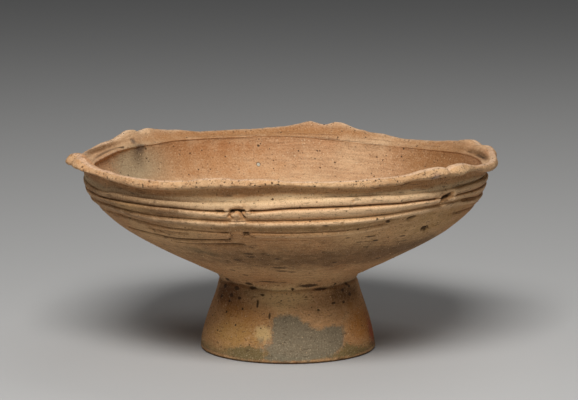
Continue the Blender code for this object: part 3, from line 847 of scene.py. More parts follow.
# Dark spots, where grit or straw burnt out or was dragged along: side, azimuth, height, half length and half
# height in millimetres
SPOTS = (
    ("in", 207.9, 102.4, 0.47, 0.47), ("in", 212.2, 101.1, 0.68, 0.68), ("in", 210.7, 91.4, 0.68, 0.68),
    ("in", 206.4, 91.1, 0.51, 0.51), ("in", 215, 89, 0.51, 0.51), ("in", 205.4, 86, 0.51, 0.51),
    ("in", 189, 103.8, 0.94, 0.94), ("in", 188.3, 104.9, 0.59, 0.59), ("in", 229.3, 107, 0.85, 0.85),
    ("in", 228.4, 99.9, 0.42, 0.42), ("in", 232.8, 97.4, 0.42, 0.42), ("in", 184.4, 94.7, 0.51, 0.51),
    ("in", 180.7, 91.6, 0.51, 0.51), ("in", 176.3, 100.4, 0.59, 0.59), ("in", 170.2, 100.6, 0.59, 0.59),
    ("in", 170.9, 95.8, 0.59, 0.59), ("in", 164.2, 94, 0.68, 0.68), ("in", 168.9, 90.9, 0.59, 0.59),
    ("in", 185.5, 101.8, 0.42, 0.42), ("in", 216, 101, 0.51, 0.51), ("in", 150.5, 89, 0.51, 0.51),
    ("in", 163.8, 109, 0.59, 0.59), ("in", 155.2, 109.6, 0.59, 0.59), ("in", 140, 98, 0.42, 0.42),
    ("out", 26.1, 81.1, 3.52, 0.75), ("out", 29.2, 77.8, 1.76, 1.12), ("out", 23.5, 77.6, 2.64, 0.62),
    ("out", 27.4, 73.5, 2.2, 0.62), ("out", 18.5, 81.4, 1.76, 0.62), ("out", 12.4, 72, 1.2, 0.6),
    ("out", 19.9, 62.8, 1.65, 1), ("out", 16.8, 43.5, 6.25, 1.25), ("out", 24.2, 46.3, 1.4, 0.7),
    ("out", 34.8, 46.8, 1.6, 0.6), ("out", 42.1, 42.7, 1.2, 0.91), ("out", 28.3, 40.8, 4.8, 0.91),
    ("out", 2, 56.1, 2.75, 1.12), ("out", 10.7, 90.4, 1.6, 0.4), ("out", 30, 89.4, 1.54, 1.12),
    ("out", 41.9, 62.3, 1.76, 0.75), ("out", 38.9, 79, 2.2, 0.88), ("out", 346.4, 70.5, 3.3, 1.12),
    ("out", 346.4, 68.1, 2.86, 1.12), ("out", 340, 65.1, 2.64, 1), ("out", 335.1, 63.6, 1.76, 0.75),
    ("out", 351.4, 70.7, 1.65, 0.88), ("out", 353.4, 70, 1.2, 0.6), ("out", 356.3, 67, 2.2, 1),
    ("out", 356.4, 59.7, 5, 1.25), ("out", 357, 56.8, 3.4, 1.1), ("out", 333.8, 51.4, 2.2, 1.12),
    ("out", 329.8, 55.1, 1.98, 1.12), ("out", 345.5, 46.3, 6.88, 1.25), ("out", 356.8, 46.3, 2.6, 0.7),
    ("out", 3.7, 41.6, 0.96, 1.04), ("out", 60.2, 39.6, 1.56, 1.04), ("out", 50.1, 38.4, 1.32, 1.04),
    ("out", 301.1, 43.9, 2.4, 1.17), ("out", 296.8, 39.3, 1.92, 1.56), ("out", 313.5, 39.9, 2.16, 1.43),
    ("out", 326.7, 43.6, 2.88, 1.04), ("out", 329.9, 41.2, 2.64, 1.04), ("out", 335.9, 32.7, 0.84, 2.6),
    ("out", 294.5, 33.2, 1.44, 1.3), ("out", 307.9, 25.8, 0.96, 0.78), ("out", 323.5, 29, 0.84, 0.78),
    ("out", 346.4, 26.6, 0.72, 2.08), ("out", 57.6, 41.1, 1.56, 1.04), ("out", 58.2, 35.2, 1.56, 1.17),
    ("out", 48.3, 31.8, 1.2, 0.91), ("out", 23.5, 29.4, 0.96, 0.52), ("out", 37.9, 32.3, 1.68, 0.65),
    ("out", 308.7, 35.4, 1.92, 1.3), ("out", 318.4, 34.7, 1.44, 1.04), ("out", 307.9, 32, 1.2, 0.91),
    ("out", 339.3, 37.8, 1.44, 0.78), ("out", 289.3, 21.5, 0.84, 0.78), ("out", 302.8, 14.9, 0.72, 0.65),
    ("out", 320.1, 19.9, 0.72, 0.65),
    ("out", 349.1, 83.6, 0.5, 0.6), ("out", 349.8, 82.8, 0.5, 0.6), ("out", 350.5, 82.1, 0.5, 0.5),
    ("out", 347.5, 83.4, 0.4, 0.8), ("out", 343.7, 84.2, 0.6, 0.5), ("out", 343.9, 83.2, 0.4, 0.8),
)
# Long faint strokes, in the same way
STREAKS = (
    ("in", 175.7, 110.7, 14, 0.45), ("in", 171.8, 108.8, 18, 0.45), ("in", 164.4, 107.7, 18, 0.45),
    ("in", 158.8, 107, 12, 0.45), ("in", 150.9, 106.1, 12, 0.45), ("in", 138.6, 105.8, 10, 0.45),
    ("in", 191.4, 110, 14, 0.45), ("in", 203, 109.1, 14, 0.45), ("in", 181.8, 111.6, 10, 0.45),
    ("in", 167.9, 110.4, 12, 0.45), ("in", 213.1, 109, 10, 0.45), ("in", 130.8, 108.2, 8, 0.45),
    ("in", 178, 109.4, 22, 0.5), ("in", 196, 108.4, 16, 0.4), ("in", 150, 108.6, 16, 0.4),
    ("in", 222, 108.4, 9, 0.4), ("out", 20, 68, 14, 0.5), ("out", 352, 62.5, 12, 0.5),
    ("out", 38, 60, 12, 0.5), ("out", 338, 58, 10, 0.6), ("out", 8, 52.5, 11, 0.6),
    ("out", 350, 66, 9, 0.5), ("out", 30, 73, 11, 0.4), ("out", 322, 66, 12, 0.5),
)
# The one pale pebble, in the same way
STONES = (("in", 189.5, 92.6, 1.3, 1.3),)

# Stains of the firing and of burial, and among them painted shade and painted light: side, azimuth, height,
# half width and half height in millimetres, sharpness of the edge, strength and colour. A later one lies over
# an earlier one.
STAINS_AND_PAINTED_LIGHT = (
    # Inside
    ("in", 214.0, 97.0, 46.0, 16.0, 1.0, 0.6, "#a26e40"),
    ("in", 197.0, 104.0, 40.0, 5.0, 1.0, 0.35, "#a2693c"),
    ("in", 190.0, 88.0, 40.0, 14.0, 1.0, 0.35, "#c08f62"),
    # Painted shade on the band between the ledge and the crest, on the far side
    ("in", 190.0, 111.0, 110.0, 4.6, 1.2, 0.65, "#a06f42"),
    # Painted shade: the right-hand side of the inside is darker
    ("in", 120.0, 100.0, 50.0, 16.0, 1.0, 0.75, "#97693d"),
    ("in", 236.0, 98.0, 26.0, 12.0, 1.2, 0.8, "#a08f70"),
    ("in", 233.5, 103.0, 5.0, 7.0, 1.2, 0.8, "#655741"),
    ("in", 233.5, 111.9, 1.7, 2.0, 1.6, 0.9, "#4b4039"),
    ("in", 232.0, 107.8, 4.4, 2.4, 1.6, 0.95, "#3a302c"),
    # Partly dirt, partly painted shade: darker in the channel over the cord of clay
    ("in", 253.0, 111.6, 26.0, 2.2, 1.2, 0.7, "#74502e"),
    ("in", 100.0, 110.6, 30.0, 2.2, 1.2, 0.7, "#5e3f22"),
    # Outside of the bowl
    # Painted light: a paler band on the neck, which lies in the lip's shadow
    ("out", 0.0, 105.2, 400.0, 2.3, 1.4, 0.75, "#dcc4a6"),
    # Painted shade: tones down the pale top of the third ridge in front
    ("out", 8.0, 88.6, 70.0, 2.4, 1.2, 0.6, "#94744e"),
    ("out", 34.0, 114.8, 24.0, 3.5, 1.0, 0.35, "#a87f58"),
    # Painted shade: the underside darker in front
    ("out", 10.0, 66.0, 110.0, 22.0, 1.2, 0.6, "#6c4f32"),
    # Painted shade: the left side of the bowl darker, where the light falls off
    ("out", 312.0, 97.0, 56.0, 13.0, 1.0, 0.66, "#785635"),
    # Painted shadow at the foot of the neck on the left
    ("out", 324.0, 101.8, 26.0, 1.3, 1.4, 0.6, "#5e4128"),
    # Painted highlight: paler on the second ridge on the left
    ("out", 311.0, 94.8, 15.0, 2.6, 1.2, 0.55, "#cba577"),
    ("out", 60.0, 98.0, 26.0, 12.0, 0.8, 0.35, "#97733f"),
    ("out", 40.9, 113.4, 3.0, 2.0, 1.3, 0.6, "#a58a80"),
    ("out", 327.0, 70.0, 10.0, 6.0, 1.2, 0.25, "#6b6147"),
    # Painted shade: the underside darker on the right
    ("out", 52.0, 70.0, 28.0, 10.0, 1.0, 0.55, "#6c4f32"),
    ("out", 55.0, 84.0, 40.0, 10.0, 1.0, 0.3, "#a98750"),
    # Foot
    # Partly dark blotches, partly painted shade on the foot's top, to the left
    ("out", 302.0, 36.0, 20.0, 9.0, 1.2, 0.65, "#55300c"),
    ("out", 334.0, 39.0, 8.0, 3.5, 1.2, 0.5, "#54361c"),
    # Partly dark blotches, partly painted shade on the foot's top, to the right
    ("out", 55.0, 36.5, 20.0, 8.5, 1.2, 0.6, "#4c300f"),
    ("out", 322.0, 26.0, 20.0, 7.0, 1.0, 0.55, "#ad7438"),
    # Painted light: paler on the foot's top in front, where the bowl shades it
    ("out", 356.0, 37.0, 17.0, 7.5, 1.0, 0.85, "#dcbd92"),
    ("out", 318.0, 14.0, 30.0, 10.0, 1.0, 0.6, "#b38a50"),
    ("out", 64.0, 18.0, 18.0, 13.0, 1.0, 0.7, "#b87c3c"),
    ("out", 79.0, 11.0, 5.5, 8.0, 0.9, 0.85, "#a03820"),
    ("out", 340.0, 2.5, 400.0, 3.2, 1.3, 0.55, "#75684a"),
    # The sides that the photograph does not show
    ("out", 190.0, 70.0, 30.0, 12.0, 1.2, 0.6, "#8d8069"),
    ("out", 150.0, 18.0, 16.0, 10.0, 1.4, 0.6, "#92856f"),
    ("out", 215.0, 36.0, 24.0, 8.0, 1.2, 0.6, "#4a2f18"),
    ("hollow", 0.0, 30.0, 400.0, 60.0, 1.0, 0.5, "#7a5c40"),
)

# Patches with clear edges on the foot, as a colour and its outline in (azimuth, height). They are laid out on
# the foot's middle radius, and distance from an edge is measured up to a reach, both in millimetres.
FOOT_MIDDLE = 47.0
PATCH_REACH = 6.0
PATCHES = (
    ("#7c776b", (
        (346.2, 24.9), (350.9, 26.2), (356.4, 27.6), (1.1, 27.8), (6.2, 27.2), (9.7, 24.2), (13.0, 23.3),
        (16.7, 21.0), (23.1, 18.8), (28.0, 20.3), (34.9, 20.8), (42.0, 19.2), (43.0, 16.2), (40.0, 13.0),
        (41.7, 9.9), (36.7, 6.2), (28.5, 3.0), (8.0, 1.0), (347.5, 1.2), (343.5, 3.6), (348.0, 6.6),
        (344.6, 8.4), (339.3, 9.5), (339.8, 11.5), (342.9, 12.2), (345.0, 11.8), (349.0, 13.0),
        (349.4, 16.3), (348.3, 19.0), (348.5, 21.8), (346.8, 23.1),
    )),
    ("#726546", (
        (313.9, 4.5), (323.9, 8.5), (332.4, 9.6), (339.3, 9.5), (344.6, 8.4), (348.0, 6.6), (343.5, 3.6),
        (347.5, 1.2), (331.6, 1.2), (317.8, 2.2),
    )),
    ("#7a6a46", ((41.7, 9.9), (51.1, 7.3), (60.6, 4.6), (63.1, 2.5), (50.7, 1.2), (28.5, 1.2), (36.7, 6.2))),
    ("#cfb284", (
        (336.3, 18.4), (339.0, 20.9), (344.8, 20.9), (347.9, 18.7), (349.2, 16.3), (349.0, 13.0),
        (345.0, 11.8), (340.8, 12.4), (337.0, 14.1),
    )),
)


def place(azimuths, radius, height, axis):
    """Points in the frame, in metres. The bowl leans off the foot's axis as it rises."""
    lean = BOWL_LEAN * np.maximum(height - FOOT_HEIGHT, 0.0) / BOWL_RISE
    angle = np.radians(azimuths)
    across = (radius * np.sin(angle) + lean) * MM + axis[0]
    along = -radius * np.cos(angle) * MM + axis[1]
    return np.stack([across, along, height * MM], axis=-1)


def foot_axis():
    """Where the foot's axis stands, from the frame's own model: the middle of its lowest ring."""
    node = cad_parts[NODE]
    corners = np.array([vertex.co for vertex in node.data.vertices])
    low = corners[corners[:, 2] < corners[:, 2].min() + 1e-5]
    return (low.min(axis=0) + low.max(axis=0)) / 2


def ring_faces(upper, lower):
    """Faces between two rings of point numbers. One may be a single point, or have half the other's."""
    if len(upper) == len(lower):
        return [(lower[i - 1], lower[i], upper[i], upper[i - 1]) for i in range(len(upper))]
    many, few = (upper, lower) if len(upper) > len(lower) else (lower, upper)
    faces = []
    for index, point in enumerate(many):
        after = many[(index + 1) % len(many)]
        apex = few[(index + 1) // 2 % len(few)]
        faces.append((point, after, apex))
        if index % 2 and len(few) > 1:
            faces.append((point, apex, few[index // 2]))
    if many is upper:
        return [face[::-1] for face in faces]
    return faces


def raise_surface(wall, sizes):
    """Moves the wall's points along its normals: ridges, grooves, marks, and the hand's unevenness."""
    across, up = wall.normals()
    push = wall.relief.copy()
    detail = wall.relief.copy()
    # The rim's tones: paler on the ledge's nose, partly wear and partly painted highlight, and darker in the
    # recess over it, partly dirt and partly painted shade
    for row, tone in wall.tone.items():
        detail[row] += tone
    for side, width, depth, path in MARKS:
        distance = wall.near(side, path)
        cut = depth * np.exp(-((distance / width) ** 2.4))
        push -= cut
        detail -= cut
    points = place(wall.azimuths[None, :], wall.radius, wall.height, (0, 0)) / MM
    # The hand's unevenness fades at the ground and by the join
    join = np.exp(-(((wall.height - JOIN_HEIGHT) / 5.0) ** 2))
    free = (wall.sides != "base")[:, None] * (smooth(0.0, 6.0, wall.height) * (1 - 0.8 * join))
    for index, (share, lump) in enumerate(WALL_ROUGHNESS):
        push += free * (sizes.unevenness / MM) * share * soft_noise(points, lump, sizes.seed + index)
    high, lump = LIP_ROUGHNESS
    lip = np.exp(-((wall.run - wall.crest_run) / 7.0) ** 2)
    rougher = 1.0 + close_to(wall.azimuths, *ROUGH_LIP)
    push += lip * high * soft_noise(points, lump, sizes.seed + 3) * rougher
    high, lump = CORD_ROUGHNESS
    ledge = np.exp(-(((wall.height - wall.rim.ledge + 0.5) / 1.6) ** 2))
    cord = ledge * wall.rim.cord * (wall.sides == "in")[:, None]
    push += cord * high * soft_noise(points, lump, sizes.seed + 4)
    return wall.radius + across * push, wall.height + up * push, detail


def join_rows(wall):
    """Which of the wall's points the mesh takes, as rows and columns, and the faces between them."""
    rings, taken, count = [], [], 0
    for row, step in enumerate(wall.steps):
        picked = range(0, len(wall.azimuths), step) if step else (0,)
        rings.append(list(range(count, count + len(picked))))
        taken += [(row, column) for column in picked]
        count += len(picked)
    faces = []
    for upper, lower in zip(rings, rings[1:]):
        faces += ring_faces(upper, lower)
    return tuple(np.array(taken).T), faces


def build_dish(sizes):
    """Mesh of the whole dish with the attributes that its clay reads, and the places of its spots."""
    wall = Wall(columns(COLUMN_COUNT), sizes)
    radius, height, detail = raise_surface(wall, sizes)
    points = place(wall.azimuths[None, :], radius, np.maximum(height, 0.0), foot_axis())
    low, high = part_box(NODE)
    points = np.clip(points, np.array(low) + (BOX_MARGIN, BOX_MARGIN, 0.0), np.array(high) - BOX_MARGIN)
    taken, faces = join_rows(wall)
    mesh = bpy.data.meshes.new("pedestal_dish_clay")
    mesh.from_pydata(points[taken].tolist(), [], faces)
    mesh.validate()
    turned = np.radians(wall.azimuths)
    sweep = np.stack([
        SWEEP_RADIUS * np.sin(turned)[None, :] + 0 * wall.run,
        SWEEP_RADIUS * np.cos(turned)[None, :] + 0 * wall.run,
        wall.run * MM,
    ], axis=-1)
    outer = np.isin(wall.sides, ("out", "base"))[:, None] + 0 * wall.run
    given = {"relief": detail, "sweep": sweep, "lip": lip_share(wall), "outer": outer}
    given["stain"], given["stain_colour"] = stains_and_painted_light(wall)
    given["patch"], given["patch_colour"] = patches(wall)
    for name, values in given.items():
        add_attribute(mesh, name, values[taken])
    mesh.shade_smooth()
    inclusions = {"spots": SPOTS, "streaks": STREAKS, "stones": STONES}
    return mesh, {name: [on_wall(wall, *row) for row in table] for name, table in inclusions.items()}


def on_wall(wall, side, azimuth, height, long, high):
    """Middle of a spot in the sweep's coordinates, and what scales them to 1 at the edge of the spot."""
    run = wall.spot(side, azimuth, height)
    column = int(np.argmin(np.abs(turn_from(wall.azimuths, azimuth))))
    radius = wall.radius[int(np.argmin(np.abs(wall.run[:, column] - run))), column]
    turned = math.radians(azimuth)
    middle = (SWEEP_RADIUS * math.sin(turned), SWEEP_RADIUS * math.cos(turned), run * MM)
    along = radius / SWEEP_RADIUS / long
    return middle, (along, along, 1 / (high * MM))


def lip_share(wall):
    """1 on the lip, from 4.5 mm inside its crest to 1.5 mm over its foot, and 0 away from it."""
    below = wall.run[wall.first_wall] - 1.5
    above = wall.crest_run - 4.5
    return smooth(above - 1.0, above + 1.0, wall.run) * smooth(below + 0.8, below - 0.8, wall.run)


def stains_and_painted_light(wall):
    """How much each point is stained or given painted shade and painted light, and the colour there."""
    amount = np.zeros_like(wall.radius)
    tint = np.zeros(wall.radius.shape + (3,))
    for side, azimuth, height, wide, tall, edge, strength, value in STAINS_AND_PAINTED_LIGHT:
        run = wall.spot(side, azimuth, height)
        distance = np.hypot(wall.across(azimuth) / wide, (wall.run - run) / tall)
        share = strength * np.exp(-(distance ** (2 * edge))) * (wall.sides == side)[:, None]
        mixed = share + amount * (1 - share)
        ratio = (share / np.maximum(mixed, 1e-6))[..., None]
        tint = tint * (1 - ratio) + np.array(linear(value)[:3]) * ratio
        amount = mixed
    return amount, tint


def patches(wall):
    """How far inside a patch each point of the foot lies, in millimetres, and that patch's colour."""
    depth = np.full_like(wall.height, -PATCH_REACH)
    tint = np.zeros(wall.height.shape + (3,))
    for value, outline in PATCHES:
        centre = outline[0][0]
        across = np.radians(turn_from(wall.azimuths, centre))[None, :] * FOOT_MIDDLE + 0 * wall.height
        corners = [(math.radians(turn_from(at, centre)) * FOOT_MIDDLE, height) for at, height in outline]
        nearest = np.full_like(wall.height, PATCH_REACH)
        within = np.zeros(wall.height.shape, bool)
        for (x, y), (next_x, next_y) in zip(corners, corners[1:] + corners[:1]):
            wide, tall = next_x - x, next_y - y
            u, v = across - x, wall.height - y
            share = np.clip((u * wide + v * tall) / (wide**2 + tall**2), 0, 1)
            nearest = np.minimum(nearest, np.hypot(u - share * wide, v - share * tall))
            crosses = (y > wall.height) != (next_y > wall.height)
            within ^= crosses & (across < x + v * wide / (tall or 1.0))
        signed = np.where(within & (wall.sides == "out")[:, None], nearest, -nearest)
        tint = np.where((signed > depth)[..., None], np.array(linear(value)[:3]), tint)
        depth = np.maximum(depth, signed)
    return depth, tint


def add_attribute(mesh, name, values):
    """Gives each point of the mesh a number, or three."""
    kind, field = ("FLOAT_VECTOR", "vector") if values.ndim > 1 else ("FLOAT", "value")
    attribute = mesh.attributes.new(name, kind, "POINT")
    attribute.data.foreach_set(field, np.ascontiguousarray(values, np.float32).ravel())


def add(tree, kind, inputs=(), **settings):
    """Adds a node with its settings. Inputs, by name or number, are set to a value or linked to a socket."""
    made = tree.nodes.new(kind)
    made.location = (190 * (len(tree.nodes) % 16), -320 * (len(tree.nodes) // 16))
    for name, value in settings.items():
        setattr(made, name, value)
    for name, value in dict(inputs).items():
        if isinstance(value, bpy.types.NodeSocket):
            tree.links.new(value, made.inputs[name])
        else:
            made.inputs[name].default_value = value
    return made


# How far the shaken coordinates move, in metres
SHAKE = (1.2 * MM,) * 3


def per_mm(size):
    """Scale of a pattern on metre coordinates whose features are this many millimetres wide."""
    return 1.0 / (size * MM)


def blank_material(name):
    """A new material with its tree and its shader."""
    material = bpy.data.materials.new(name)
    material.use_nodes = True
    return material, material.node_tree, material.node_tree.nodes["Principled BSDF"]


def nearest_spot(tree, where, spots):
    """Distance to the nearest of some oval spots, which is 1 at the spot's edge."""
    nearest = 100.0
    for middle, scale in spots:
        local = {0: where, 1: scale, 2: [-part * share for part, share in zip(middle, scale)]}
        local = add(tree, "ShaderNodeVectorMath", local, operation="MULTIPLY_ADD").outputs[0]
        away = add(tree, "ShaderNodeVectorMath", {0: local}, operation="LENGTH").outputs["Value"]
        nearest = add(tree, "ShaderNodeMath", {0: away, 1: nearest}, operation="MINIMUM").outputs[0]
    return nearest


def clay_patterns(tree, inclusions):
    """Everything that drives the clay's colour and its fine surface, as named sockets."""
    where = add(tree, "ShaderNodeTexCoord").outputs["Object"]
    sweep = add(tree, "ShaderNodeAttribute", attribute_name="sweep").outputs["Vector"]
    # Coordinates shaken by up to 0.6 mm, so that no pore is round
    shaky = {"Vector": where, "Scale": per_mm(1.2), "Detail": 2.0}
    shaky = add(tree, "ShaderNodeTexNoise", shaky).outputs["Color"]
    shaky = add(tree, "ShaderNodeVectorMath", {0: shaky, 1: (0.5,) * 3}, operation="SUBTRACT").outputs[0]
    moved = ({0: shaky, 1: SHAKE, 2: source} for source in (where, sweep))
    loose, loose_sweep = (
        add(tree, "ShaderNodeVectorMath", parts, operation="MULTIPLY_ADD").outputs[0] for parts in moved
    )
    found = {
        name: add(tree, "ShaderNodeAttribute", attribute_name=name).outputs["Fac"]
        for name in ("relief", "stain", "patch", "lip", "outer")
    }
    # Noises: coordinates and their stretch, size of the lumps in millimetres, detail, roughness
    noises = {
        "mottle": (where, (1, 1, 1), 42.0, 5.0, 0.6),  # broad paler areas
        "warmth": (where, (1, 1, 1.3), 60.0, 4.0, 0.55),  # cleaner flame
        "strokes": (sweep, (0.14, 0.14, 1), 1.6, 3.0, 0.6),  # strokes of the smoothing hand
        "drags": (sweep, (0.14, 0.14, 1), 1.0, 2.0, 0.6),  # grit dragged along under the tool
        "clouds": (where, (1, 1, 1), 7.0, 5.0, 0.65),  # smoke and fire clouds
        "frays": (where, (1, 1, 1), 2.6, 4.0, 0.7),  # ragged edges of patches
        "rubs": (where, (1, 1, 1), 4.0, 4.0, 0.65),  # uneven wear
        "sand": (where, (1, 1, 1), 0.9, 3.0, 0.75),  # sand in the paste, drawn at the size of a pixel
        "dirt": (where, (1, 1, 1), 2.2, 4.0, 0.75),  # small dark stains
    }
    for name, (source, stretch, size, detail, roughness) in noises.items():
        spread = {"Vector": source, "Scale": tuple(share * per_mm(size) for share in stretch)}
        grown = {"Vector": add(tree, "ShaderNodeMapping", spread).outputs[0], "Scale": 1.0}
        grown.update({"Detail": detail, "Roughness": roughness})
        found[name] = add(tree, "ShaderNodeTexNoise", grown).outputs[0]
    # Cells, each with one pore or fleck near its middle, and their size in millimetres
    for name, size in {"pore_cells": 2.8, "hole_cells": 6.5, "fleck_cells": 2.3}.items():
        found[name] = add(tree, "ShaderNodeTexVoronoi", {"Vector": loose, "Scale": per_mm(size)}).outputs[0]
    # Sums: the first, plus this much of the second
    sums = {
        "stained_and_painted_light": ("stain", "clouds", 0.8),
        "patched": ("patch", "frays", 6.0),
        # Paler where the surface stands out: partly wear, partly painted highlight
        "raised": ("relief", "rubs", 0.9),
        # Paler on the lip's crest: partly wear, partly painted highlight
        "lip_wear_and_highlight": ("lip", "rubs", 1.2),
        "pores": ("pore_cells", "clouds", 0.9),
        "lip_pores": ("pores", "lip", -0.1),
        "lip_dirt": ("dirt", "lip", -0.045),
        "holes": ("hole_cells", "warmth", 0.35),
        "flecks": ("fleck_cells", "mottle", 0.4),
        "lines": ("outer", "drags", 1.0),
        # Darker close to the ground: partly dirt, partly a painted contact shadow
        "ground": ("above", "rubs", 1.2 * MM),
    }
    found["above"] = add(tree, "ShaderNodeSeparateXYZ", {0: where}).outputs["Z"]
    for name, (first, second, weight) in sums.items():
        parts = {0: found[second], 1: weight, 2: found[first]}
        found[name] = add(tree, "ShaderNodeMath", parts, operation="MULTIPLY_ADD").outputs[0]
    for name, spots in inclusions.items():
        found[name] = nearest_spot(tree, loose_sweep, spots)
    return found


def earthenware(colours, inclusions):
    """Low-fired earthenware, smoothed by hand while damp and left unglazed.

    To the eye it is matt, mottled tan to orange with grey fire clouds, rubbed pale on its edges with painted
    highlights there, darker in the grooves from dirt and painted shade, with a painted contact shadow at the
    foot's edge and a painted warm bounce light over the outside, and gritty and porous close up."""
    material, tree, shader = blank_material("low-fired earthenware, hand-smoothed")
    drives = clay_patterns(tree, inclusions)
    stain_colour, patch_colour = (
        add(tree, "ShaderNodeAttribute", attribute_name=name).outputs["Color"]
        for name in ("stain_colour", "patch_colour")
    )
    # Coats from first to last: what drives it, where it starts, where it is full, strength, colour, blend
    coats = (
        ("mottle", 0.36, 0.66, 1.0, colours.buff, "MIX"),
        ("warmth", 0.5, 0.72, 0.4, colours.orange, "MIX"),
        ("strokes", 0.35, 0.68, 0.26, colours.fleck_dark, "MIX"),
        ("flecks", 0.36, 0.28, 0.6, colours.fleck_pale, "MIX"),
        # Ridge tops and the ledge's nose paler: partly wear, partly painted highlight
        ("raised", 0.75, 1.75, 0.75, colours.worn_and_highlight, "MIX"),
        # The lip's crest paler: partly wear, partly painted highlight
        ("lip_wear_and_highlight", 1.25, 1.75, 0.42, colours.worn_and_highlight, "MIX"),
        # Stains, with painted shade and painted light among them
        ("stained_and_painted_light", 0.5, 1.1, 0.9, stain_colour, "MIX"),
        ("patched", 2.0, 4.6, 0.9, patch_colour, "MIX"),
        # Painted warm bounce light over all the outside
        ("outer", 0.0, 1.0, 1.0, colours.painted_bounce_tint, "MULTIPLY"),
        ("sand", 0.53, 0.7, 0.35, colours.fleck_pale, "MIX"),
        # Darker the deeper the surface is cut: partly dirt in the grooves, partly painted shade
        ("relief", -0.4, -1.3, 0.85, colours.recess, "MIX"),
        ("sand", 0.47, 0.3, 0.55, colours.fleck_dark, "MIX"),
        ("lip_dirt", 0.4, 0.29, 0.75, colours.recess, "MIX"),
        ("lines", 1.61, 1.67, 0.5, colours.recess, "MIX"),
        ("lip_pores", 0.56, 0.43, 0.85, colours.recess, "MIX"),
        ("holes", 0.24, 0.22, 0.85, colours.recess, "MIX"),
        ("streaks", 1.1, 0.3, 0.5, colours.fleck_dark, "MIX"),
        ("spots", 1.2, 0.6, 0.9, colours.recess, "MIX"),
        # Painted contact shadow round the foot's lower edge, partly dirt
        ("ground", 2.2 * MM, 1.2 * MM, 0.8, colours.recess, "MIX"),
        ("stones", 1.2, 0.95, 0.8, colours.recess, "MIX"),
        ("stones", 0.9, 0.7, 0.9, colours.stone, "MIX"),
    )
    base = tuple(colours.clay)
    for name, start, full, strength, tint, blend in coats:
        reach = {"Value": drives[name], "From Min": start, "From Max": full, "To Max": strength}
        share = add(tree, "ShaderNodeMapRange", reach, interpolation_type="SMOOTHSTEP").outputs[0]
        coat = {0: share, 6: base, 7: tint}
        base = add(tree, "ShaderNodeMix", coat, data_type="RGBA", blend_type=blend).outputs[2]
    tree.links.new(base, shader.inputs["Base Color"])
    rough = {"Value": drives["rubs"], "From Min": 0.3, "From Max": 0.7, "To Min": 0.74, "To Max": 0.92}
    tree.links.new(add(tree, "ShaderNodeMapRange", rough).outputs[0], shader.inputs["Roughness"])
    shader.inputs["IOR"].default_value = 1.5
    shader.inputs["Specular IOR Level"].default_value = 0.3
    # Height of the fine surface: what raises it, then the pores and holes in it
    rise = 0.0
    for name, weight in {"rubs": 0.9, "sand": 0.7, "strokes": 0.6, "drags": -0.4, "clouds": 0.8}.items():
        parts = {0: drives[name], 1: weight, 2: rise}
        rise = add(tree, "ShaderNodeMath", parts, operation="MULTIPLY_ADD").outputs[0]
    for name, start, full, depth in (("pores", 0.56, 0.4, -0.3), ("holes", 0.245, 0.22, -0.3)):
        reach = {"Value": drives[name], "From Min": start, "From Max": full, "To Max": depth}
        hole = add(tree, "ShaderNodeMapRange", reach).outputs[0]
        rise = add(tree, "ShaderNodeMath", {0: hole, 1: rise}).outputs[0]
    bump = add(tree, "ShaderNodeBump", {"Strength": 0.9, "Distance": 0.6 * MM, "Height": rise}).outputs[0]
    tree.links.new(bump, shader.inputs["Normal"])
    return material


def temper(colours):
    """Temper, crushed pot and quartz sand that fired into the clay: hard dull grains, pale or dark."""
    material, tree, shader = blank_material("temper, crushed pot and quartz sand")
    where = add(tree, "ShaderNodeTexCoord").outputs["Object"]
    kind = add(tree, "ShaderNodeTexNoise", {"Vector": where, "Scale": per_mm(4.0), "Detail": 0.0}).outputs[0]
    reach = {"Value": kind, "From Min": 0.44, "From Max": 0.56}
    share = add(tree, "ShaderNodeMapRange", reach).outputs[0]
    shade = {0: share, 6: colours.grain_dark, 7: colours.grain_pale}
    shade = add(tree, "ShaderNodeMix", shade, data_type="RGBA").outputs[2]
    tree.links.new(shade, shader.inputs["Base Color"])
    shader.inputs["Roughness"].default_value = 0.7
    shader.inputs["IOR"].default_value = 1.5
    return material


